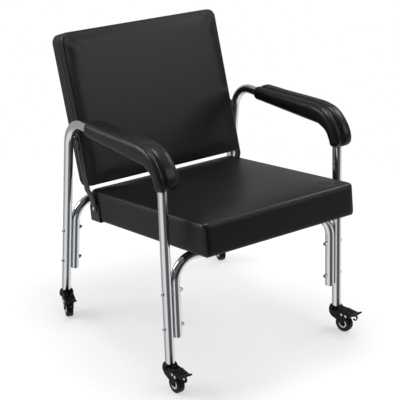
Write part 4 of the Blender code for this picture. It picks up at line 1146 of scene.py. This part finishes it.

# %% [markdown]
# The wheel is a thick black tyre on a pale grey ring, which shows round the end of the fork's cheek. The hub
# inside is black as painted shade: it darkens the hollow middle of the wheel. The tyre is cast in
# polyurethane, which is duller than the nylon. All are spun from half outlines and laid on their axle.

# %% Wheels
WHEEL_HEIGHT = 25 * MM
WHEEL_TRAIL = 30 * MM
WHEEL_STEPS = 56
TREAD_GRIT = 1.0 * MM
# Radius, and millimetres across the wheel
TYRE_OUTLINE = (
    (13.2, -8.8), (13.6, -9.2), (15, -9.5), (18, -9.9), (20.5, -9.9), (22.6, -9.4), (24.1, -8.2),
    (24.8, -6.4), (25, -4), (25, 4), (24.8, 6.4), (24.1, 8.2), (22.6, 9.4), (20.5, 9.9), (18, 9.9),
    (15, 9.5), (13.6, 9.2), (13.2, 8.8), (13.2, -8.8),
)
RING_OUTLINE = (
    (8.9, -9.2), (9.3, -9.7), (12.4, -9.9), (13.1, -9.3), (13.1, 9.3), (12.4, 9.9), (9.3, 9.7), (8.9, 9.2),
    (8.9, -9.2),
)
HUB_OUTLINE = (
    (3.2, -9.9), (5.4, -9.9), (6, -9.3), (6.6, -8), (8.8, -8), (8.8, 8), (6.6, 8), (6, 9.3), (5.4, 9.9),
    (3.2, 9.9), (3.2, -9.9),
)

POLYURETHANE = mottled_finish(
    "cast_black_polyurethane", TREAD_GRIT, 3.0, ("080808", "101010"), (0.42, 0.6),
    Roughness=0.5, Specular_IOR_Level=0.22,
)
GREY_NYLON = mottled_finish(
    "moulded_grey_nylon", MOULD_TEXTURE, 2.0, ("C0C2C4", "D0D2D4"), (0.3, 0.42),
    Roughness=0.35, Specular_IOR_Level=0.5,
)


def wheel_part(outline, matrix):
    """A spun part of a wheel, on the axle of a caster."""
    bm = lathe([(radius * MM, across * MM) for radius, across in outline], steps=WHEEL_STEPS)
    on_axle = Matrix.Translation((0, -WHEEL_TRAIL, WHEEL_HEIGHT)) @ Matrix.Rotation(math.pi / 2, 4, "Y")
    return placed(placed(bm, on_axle), matrix)


for place, matrix in caster_places.items():
    wheel = f"wheel_{place}"
    tyre = wheel_part(TYRE_OUTLINE, matrix)
    make_piece(f"tyre_{place}", tyre, POLYURETHANE, wheel, "caster_tread", f"caster_wheel_{place}")
    make_piece(f"wheel_ring_{place}", wheel_part(RING_OUTLINE, matrix), GREY_NYLON, wheel, "white_nylon")
    # The hub is black nylon as painted shade, for the dark hollow in the middle of the wheel
    make_piece(f"painted_shade_hub_{place}", wheel_part(HUB_OUTLINE, matrix), NYLON, wheel, "black_plastic")
print("wheels of", round(2 * WHEEL_HEIGHT / MM), "mm are on their axles")

# %% [markdown]
# A rivet is the axle, another ties the cheeks, and a third is the pin that the brake pedal turns on. Only
# their low heads show. The axle's are black, and the others are aluminium: pressed, matt and almost
# white. Two heads and a shank are one outline, so each rivet is spun in one go.

# %% Axles and rivets
RIVET_GRAIN = 0.8 * MM
RIVET_STEPS = 20
RIVET_SEAT = 0.2 * MM
AXLE_HEAD = (4.2 * MM, 1.3 * MM)
RIVET_HEAD = (4 * MM, 1.6 * MM)
AXLE_SPOT = (-30, 25)
TIE_SPOT = (-28, 54)
PIN_SPOT = (-44.5, 54.8)

ALUMINIUM = mottled_finish(
    "pressed_aluminium", RIVET_GRAIN, 2.0, ("EAEBEC", "F6F6F6"), (0.42, 0.58), Metallic=1.0, Roughness=0.5
)


def rivet_pair(spot, reach, radius, height):
    """Two low heads and the shank between them, across the caster."""
    reach -= RIVET_SEAT
    shank = 0.5 * radius
    rim = [(across, reach + rise) for across, rise in dome(radius, height, 0.0)]
    outline = [(0.0, -reach - height)] + [(across, -rise) for across, rise in reversed(rim)][1:]
    outline += [(shank, -reach), (shank, reach)] + rim
    across = Matrix.Translation((0, spot[0] * MM, spot[1] * MM)) @ Matrix.Rotation(math.pi / 2, 4, "Y")
    return placed(lathe(outline, steps=RIVET_STEPS), across)


for place, matrix in caster_places.items():
    fork_body = f"swivel_{place}"
    axle = placed(rivet_pair(AXLE_SPOT, CHEEK_OUTER, *AXLE_HEAD), matrix)
    make_piece(f"axle_rivet_{place}", axle, NYLON, fork_body, "black_plastic", f"caster_axle_{place}")
    tie = placed(rivet_pair(TIE_SPOT, CHEEK_OUTER, *RIVET_HEAD), matrix)
    make_piece(f"tie_rivet_{place}", tie, ALUMINIUM, fork_body, "zinc_steel")
print("rivets with heads of", round(2 * RIVET_HEAD[0] / MM), "mm are set")

# %% [markdown]
# The brake is a rocking pedal over the wheel. Its plate is stepped so that a shoe grips it, it ends in a
# raised lip, and below the lip hangs a small hook that the toe lifts to let the wheel go. Side arms carry
# the plate down to the pin. It is another moulding, so it is melted together as the fork is.

# %% Brake pedals
PEDAL_MELT = (0.8 * MM, 2)
PEDAL_HALF = 16.6 * MM
ARM_INNER = 14.1 * MM
SHOE_HALF = 8.5 * MM
PLATE_OUTLINE = (
    (-30.2, 67), (-35, 67), (-37, 67.8), (-37.8, 65.4), (-43, 65.8), (-45, 66.8), (-45.8, 64.6), (-52, 65),
    (-54, 66), (-54.8, 63.8), (-60, 64.2), (-65, 65), (-69, 66.4), (-72.5, 68.6), (-76, 69), (-77.2, 67.2),
    (-76, 64.2), (-71, 62.2), (-61, 61), (-53, 61.2), (-47, 61.6), (-30.2, 62.6),
)
ARM_OUTLINE = (
    (-35, 63.5), (-38.2, 55), (-39.5, 50.6), (-42, 48.4), (-45, 47.9), (-48, 48.8), (-50.3, 51), (-53, 55),
    (-58, 60),
)
SHOE_OUTLINE = ((-38, 63), (-41, 51), (-46, 48.2), (-52, 46.6), (-56, 60), (-50, 62))
HOOK_CORNERS = ((-66, 63), (-73, 54), (-70, 45), (-62, 45), (-61, 48.5))
HOOK_BEND = 3 * MM
HOOK_RADIUS = 1.3 * MM
HOOK_SIDES = 12
HOOK_WIDENING = 3.2


def toe_hook():
    corners = [(0, y * MM, z * MM) for y, z in HOOK_CORNERS]
    bm = swept_tube(corners, HOOK_BEND, HOOK_RADIUS, HOOK_SIDES)
    bmesh.ops.holes_fill(bm, edges=[edge for edge in bm.edges if edge.is_boundary], sides=0)
    bmesh.ops.recalc_face_normals(bm, faces=bm.faces)
    bmesh.ops.scale(bm, vec=(HOOK_WIDENING, 1, 1), verts=bm.verts)
    return bm


def brake_pedal():
    parts = [
        plate(PLATE_OUTLINE, -PEDAL_HALF, PEDAL_HALF),
        plate(ARM_OUTLINE, ARM_INNER, PEDAL_HALF),
        plate(ARM_OUTLINE, -PEDAL_HALF, -ARM_INNER),
        plate(SHOE_OUTLINE, -SHOE_HALF, SHOE_HALF),
        toe_hook(),
    ]
    return melted(joined(*parts), *PEDAL_MELT)


for place, matrix in caster_places.items():
    pedal = make_piece(
        f"rocking_pedal_{place}", placed(brake_pedal(), matrix), NYLON, f"pedal_{place}", "black_plastic",
        f"brake_pedal_{place}",
    )
    pin = placed(rivet_pair(PIN_SPOT, PEDAL_HALF, *RIVET_HEAD), matrix)
    make_piece(f"pedal_pin_{place}", pin, ALUMINIUM, f"pedal_{place}", "zinc_steel")
print(pedal.name, "has", len(pedal.data.polygons), "faces")

# %% [markdown]
# A few solids already have the right shape and stay as they are: the plywood board inside the seat, the
# runners under it and the plugs in the leg ends. They only get their finish. Plywood shows pale face veneer
# with long grain, so its noise is stretched along the board. The runners are cut from white nylon.

# %% Board, runners and stems
VENEER_GRAIN = 5 * MM
VENEER_STRETCH = (0.06, 1.0, 1.0)
NYLON_MOTTLE = 1.5 * MM


def make_plywood():
    finish, tree, shader, place = new_finish("birch_plywood", Roughness=0.6, Specular_IOR_Level=0.3)
    drawn = add_node(tree, "ShaderNodeMapping", {"Vector": place}, Scale=VENEER_STRETCH)
    grain = add_node(
        tree, "ShaderNodeTexNoise", {"Vector": drawn.outputs[0]}, Scale=1 / VENEER_GRAIN, Detail=5.0
    )
    follow(tree, shader, grain.outputs["Fac"], ("A98558", "D9BD8F"), (0.5, 0.72), (0.1, 0.2 * MM))
    return finish


def dress(node, finish):
    """Gives a solid that stays its finish."""
    for slot in frame["nodes"][node].material_slots:
        slot.material = finish


PLYWOOD = make_plywood()
WHITE_NYLON = mottled_finish(
    "cut_white_nylon", NYLON_MOTTLE, 2.0, ("D2D1CB", "E4E3DE"), (0.34, 0.48),
    Roughness=0.4, Specular_IOR_Level=0.5,
)
dress("seat_board", PLYWOOD)
for side_name, side in SIDES:
    dress(f"seat_runner_{side_name}", WHITE_NYLON)
for place in caster_places:
    dress(f"caster_stem_{place}", ZINC)
print("board, runners and stems have their finish")

# %% [markdown]
# Under the seat a thin black cloth closes off the board, as upholsterers do. It is spunbonded from loose
# fibres: matt, with a fine press pattern. Staples along its edge hold it, so it is a grid of squares that
# is straight at the edge and hangs a little in the middle.

# %% Dust cover
PRESS_PATTERN = 3 * MM
COVER_MARGIN = 7 * MM
COVER_SQUARES = 40
COVER_SAG = 2.5 * MM
COVER_THICKNESS = 0.6 * MM
COVER_WIDTH = 2 * (SEAT_HALF - COVER_MARGIN)
COVER_LENGTH = SEAT_DEPTH - 2 * COVER_MARGIN
COVER_PLACE = SEAT_PLACE @ Matrix.Translation((0, SEAT_FRONT + SEAT_DEPTH / 2, SEAT_BASE - 0.3 * MM))


def make_spunbond():
    finish, tree, shader, place = new_finish("spunbonded_black_cloth", Roughness=0.85, Specular_IOR_Level=0.2)
    press = add_node(tree, "ShaderNodeTexVoronoi", {"Vector": place}, Scale=1 / PRESS_PATTERN)
    follow(tree, shader, press.outputs["Distance"], ("0C0C0C", "1B1B1C"), (0.75, 0.95), (0.3, 0.2 * MM))
    return finish


def dust_cover():
    bm = bmesh.new()
    bmesh.ops.create_grid(bm, x_segments=COVER_SQUARES, y_segments=COVER_SQUARES, size=0.5)
    bmesh.ops.scale(bm, vec=(COVER_WIDTH, COVER_LENGTH, 1), verts=bm.verts)
    for vert in bm.verts:
        across = 1 - (2 * vert.co.x / COVER_WIDTH) ** 2
        along = 1 - (2 * vert.co.y / COVER_LENGTH) ** 2
        vert.co.z -= COVER_SAG * math.sqrt(max(across * along, 0.0))
    bmesh.ops.solidify(bm, geom=bm.faces[:], thickness=COVER_THICKNESS)
    bmesh.ops.recalc_face_normals(bm, faces=bm.faces)
    return placed(bm, COVER_PLACE)


SPUNBOND = make_spunbond()
cover = make_piece("dust_cover", dust_cover(), SPUNBOND, "seat", "black_vinyl")
print("the dust cover is", round(COVER_WIDTH / MM), "by", round(COVER_LENGTH / MM), "mm")

# %% [markdown]
# The staples are flat wire, driven in at even steps along each edge of the cloth. They are many and small,
# so each is a little bar with its edges broken once.

# %% Staples
STAPLE_PITCH = 45 * MM
STAPLE_INSET = 8 * MM
STAPLE_SIZE = (11 * MM, 1.3 * MM, 0.9 * MM)
STAPLE_BREAK = 0.25 * MM


def staple_row(bm, start, end):
    """Staples at even steps from one corner of the cover to the next."""
    run = end - start
    count = round(run.length / STAPLE_PITCH)
    turn = Matrix.Rotation(math.atan2(run.y, run.x), 4, "Z")
    size = Matrix.Diagonal((*STAPLE_SIZE, 1.0))
    for step in range(count):
        spot = Matrix.Translation(start + run * (step + 0.5) / count)
        bmesh.ops.create_cube(bm, size=1.0, matrix=spot @ turn @ size)


def staples():
    bm = bmesh.new()
    x = COVER_WIDTH / 2 - STAPLE_INSET
    y = COVER_LENGTH / 2 - STAPLE_INSET
    corners = [Vector((*corner, -COVER_THICKNESS)) for corner in ((-x, -y), (x, -y), (x, y), (-x, y))]
    for start, end in zip(corners, corners[1:] + corners[:1]):
        staple_row(bm, start, end)
    return placed(break_edges(bm, STAPLE_BREAK, 1), COVER_PLACE)


make_piece("cover_staples", staples(), ZINC, "seat", "zinc_steel")
print("staples every", round(STAPLE_PITCH / MM), "mm hold it")

# %% [markdown]
# The picture stands on white: a pale floor that keeps the chair's soft shadow, and runs out into plain
# white further off. The floor could simply be large and bright, but then the light on the chair would
# change with it, so its far part is white for the camera alone. A mirror looks past it into the world.

# %% Floor
WHITE = (1.0, 1.0, 1.0, 1.0)
FLOOR_RADIUS = 6.0
FLOOR_STEPS = 96
SHADOW_REACH = (0.8, 1.7)
SHADOW_LIFT = 0.5


def make_floor():
    finish, tree, shader, place = new_finish("pale_studio_floor", Base_Color=linear("F2F2F2"), Roughness=0.9)
    rays = add_node(tree, "ShaderNodeLightPath")
    away = add_node(tree, "ShaderNodeVectorMath", {0: place}, operation="LENGTH")
    far = add_node(
        tree, "ShaderNodeMapRange", {"Value": away.outputs["Value"]}, interpolation_type="SMOOTHSTEP",
        From_Min=SHADOW_REACH[0], From_Max=SHADOW_REACH[1], To_Min=SHADOW_LIFT,
    )
    seen = add_node(
        tree, "ShaderNodeMath", {0: far.outputs["Result"], 1: rays.outputs["Is Camera Ray"]},
        operation="MULTIPLY",
    )
    white = add_node(tree, "ShaderNodeEmission", Color=WHITE, Strength=1.0)
    clear = add_node(tree, "ShaderNodeBsdfTransparent")
    plain = add_node(
        tree, "ShaderNodeMixShader", {0: seen.outputs[0], 1: shader.outputs[0], 2: white.outputs[0]}
    )
    mirrored = add_node(
        tree, "ShaderNodeMath", {0: rays.outputs["Is Glossy Ray"], 1: rays.outputs["Is Transmission Ray"]},
        operation="MAXIMUM",
    )
    mix = add_node(
        tree, "ShaderNodeMixShader", {0: mirrored.outputs[0], 1: plain.outputs[0], 2: clear.outputs[0]}
    )
    output = next(node for node in tree.nodes if node.type == "OUTPUT_MATERIAL")
    tree.links.new(mix.outputs[0], output.inputs["Surface"])
    return finish


bm = bmesh.new()
bmesh.ops.create_circle(bm, cap_ends=True, segments=FLOOR_STEPS, radius=FLOOR_RADIUS)
mesh = bpy.data.meshes.new("studio_floor")
bm.to_mesh(mesh)
bm.free()
mesh.materials.append(make_floor())
floor = bpy.data.objects.new("studio_floor", mesh)
scene.collection.objects.link(floor)
print("the floor is", 2 * FLOOR_RADIUS, "m across")

# %% [markdown]
# Polished tube shows whatever stands round it, and on plain white it would vanish. Photographers hang a
# dark flag beside the camera for that. Here the world has one: a mirror finds a world that is white below,
# dim above, and dark in front of the chair, while the camera sees plain white.

# %% Surroundings
FLAG_AIM = Vector((0.006, -0.961, -0.276))
FLAG_EDGE = (0.66, 0.92)
FLAG_DARK = 0.13
BELOW = {"in front": 1.0, "behind": 0.45}
ABOVE = {"in front": 0.15, "behind": 0.42}
DEPTH_FADE = (0.0, 0.7)
HORIZON_FADE = (-0.3, -0.06)
FILL = 0.66


def make_world():
    world = bpy.data.worlds.new("white_studio")
    world.use_nodes = True
    tree = world.node_tree
    tree.nodes.clear()
    rays = add_node(tree, "ShaderNodeLightPath")
    towards = add_node(tree, "ShaderNodeTexCoord").outputs["Generated"]
    axes = add_node(tree, "ShaderNodeSeparateXYZ", {0: towards})
    below, above = [
        add_node(
            tree, "ShaderNodeMapRange", {"Value": axes.outputs["Y"]}, interpolation_type="SMOOTHSTEP",
            From_Min=DEPTH_FADE[0], From_Max=DEPTH_FADE[1], To_Min=half["in front"], To_Max=half["behind"],
        ).outputs["Result"]
        for half in (BELOW, ABOVE)
    ]
    room = add_node(
        tree, "ShaderNodeMapRange", {"Value": axes.outputs["Z"], "To Min": below, "To Max": above},
        interpolation_type="SMOOTHSTEP", From_Min=HORIZON_FADE[0], From_Max=HORIZON_FADE[1],
    )
    aim = add_node(tree, "ShaderNodeVectorMath", {0: towards}, operation="DOT_PRODUCT")
    aim.inputs[1].default_value = FLAG_AIM
    flag = add_node(
        tree, "ShaderNodeMapRange", {"Value": aim.outputs["Value"]}, interpolation_type="SMOOTHSTEP",
        From_Min=FLAG_EDGE[0], From_Max=FLAG_EDGE[1], To_Min=1.0, To_Max=FLAG_DARK,
    )
    level = add_node(
        tree, "ShaderNodeMath", {0: room.outputs["Result"], 1: flag.outputs["Result"]}, operation="MULTIPLY"
    )
    seen = add_node(tree, "ShaderNodeBackground", Color=WHITE, Strength=1.0)
    fill = add_node(tree, "ShaderNodeBackground", Color=WHITE, Strength=FILL)
    around = add_node(tree, "ShaderNodeBackground", {"Strength": level.outputs[0]}, Color=WHITE)
    lit = add_node(
        tree, "ShaderNodeMixShader",
        {0: rays.outputs["Is Glossy Ray"], 1: fill.outputs[0], 2: around.outputs[0]},
    )
    mix = add_node(
        tree, "ShaderNodeMixShader",
        {0: rays.outputs["Is Camera Ray"], 1: lit.outputs[0], 2: seen.outputs[0]},
    )
    add_node(tree, "ShaderNodeOutputWorld", {"Surface": mix.outputs[0]})
    return world


scene.world = make_world()
print("made", scene.world.name)

# %% [markdown]
# Four soft lights: one overhead for the floor, one on the left that draws the shadows to the right, one in
# front on the right that lays the sheen on the back, and a small one over the right arm for the nose of its
# pad. A lamp of a large area is the plain way to get a soft edge on a shadow.

# %% Lights
# Where each light hangs, what it points at, its width and height in metres, and its power in watts
LIGHTS = {
    "top_softbox": ((0.05, 0.05, 2.9), (0, 0, 0.3), (0.8, 0.8), 30),
    "left_softbox": ((-2.1, 1.5, 1.7), (0, 0, 0.4), (1.4, 1.4), 38),
    "right_softbox": ((1.5, -2.2, 1.9), (0, 0, 0.6), (1.6, 1.2), 16),
    "pad_softbox": ((1.1, -0.2, 1.6), (0.28, -0.27, 0.6), (0.5, 0.5), 6),
}


def soft_light(name, place, aim, size, power):
    lamp = bpy.data.lights.new(name, "AREA")
    lamp.shape = "RECTANGLE"
    lamp.size, lamp.size_y = size
    lamp.energy = power
    light = bpy.data.objects.new(name, lamp)
    light.location = place
    light.rotation_euler = (Vector(aim) - Vector(place)).to_track_quat("-Z", "Y").to_euler()
    scene.collection.objects.link(light)


for name, settings in LIGHTS.items():
    soft_light(name, *settings)
print("hung", len(LIGHTS), "soft lights")

# %% [markdown]
# The camera stands where the photographer stood, to the left of the chair and above it. A long lens from
# more than three metres keeps the legs almost parallel, as in a catalogue picture. Its place is given by
# two angles and a distance from a point in the chair, because these are easy to correct one by one.

# %% Camera
CAMERA_AZIMUTH = math.radians(-35.6725)
CAMERA_ELEVATION = math.radians(21.9295)
CAMERA_DISTANCE = 3.4371
CAMERA_TARGET = Vector((MID_X, FOOT_Y[-1] + 264.6 * MM, 370.4 * MM))
CAMERA_LENS = 111.468
SENSOR_WIDTH = 36.0


def add_camera():
    lens = bpy.data.cameras.new("studio_camera")
    lens.lens = CAMERA_LENS
    lens.sensor_width = SENSOR_WIDTH
    camera = bpy.data.objects.new("studio_camera", lens)
    level = math.cos(CAMERA_ELEVATION)
    away = Vector((
        level * math.sin(CAMERA_AZIMUTH), -level * math.cos(CAMERA_AZIMUTH), math.sin(CAMERA_ELEVATION)
    ))
    camera.location = CAMERA_TARGET + away * CAMERA_DISTANCE
    camera.rotation_euler = (-away).to_track_quat("-Z", "Y").to_euler()
    scene.collection.objects.link(camera)
    scene.camera = camera


add_camera()
scene.view_settings.view_transform = "Standard"
print("the camera stands", CAMERA_DISTANCE, "m away")
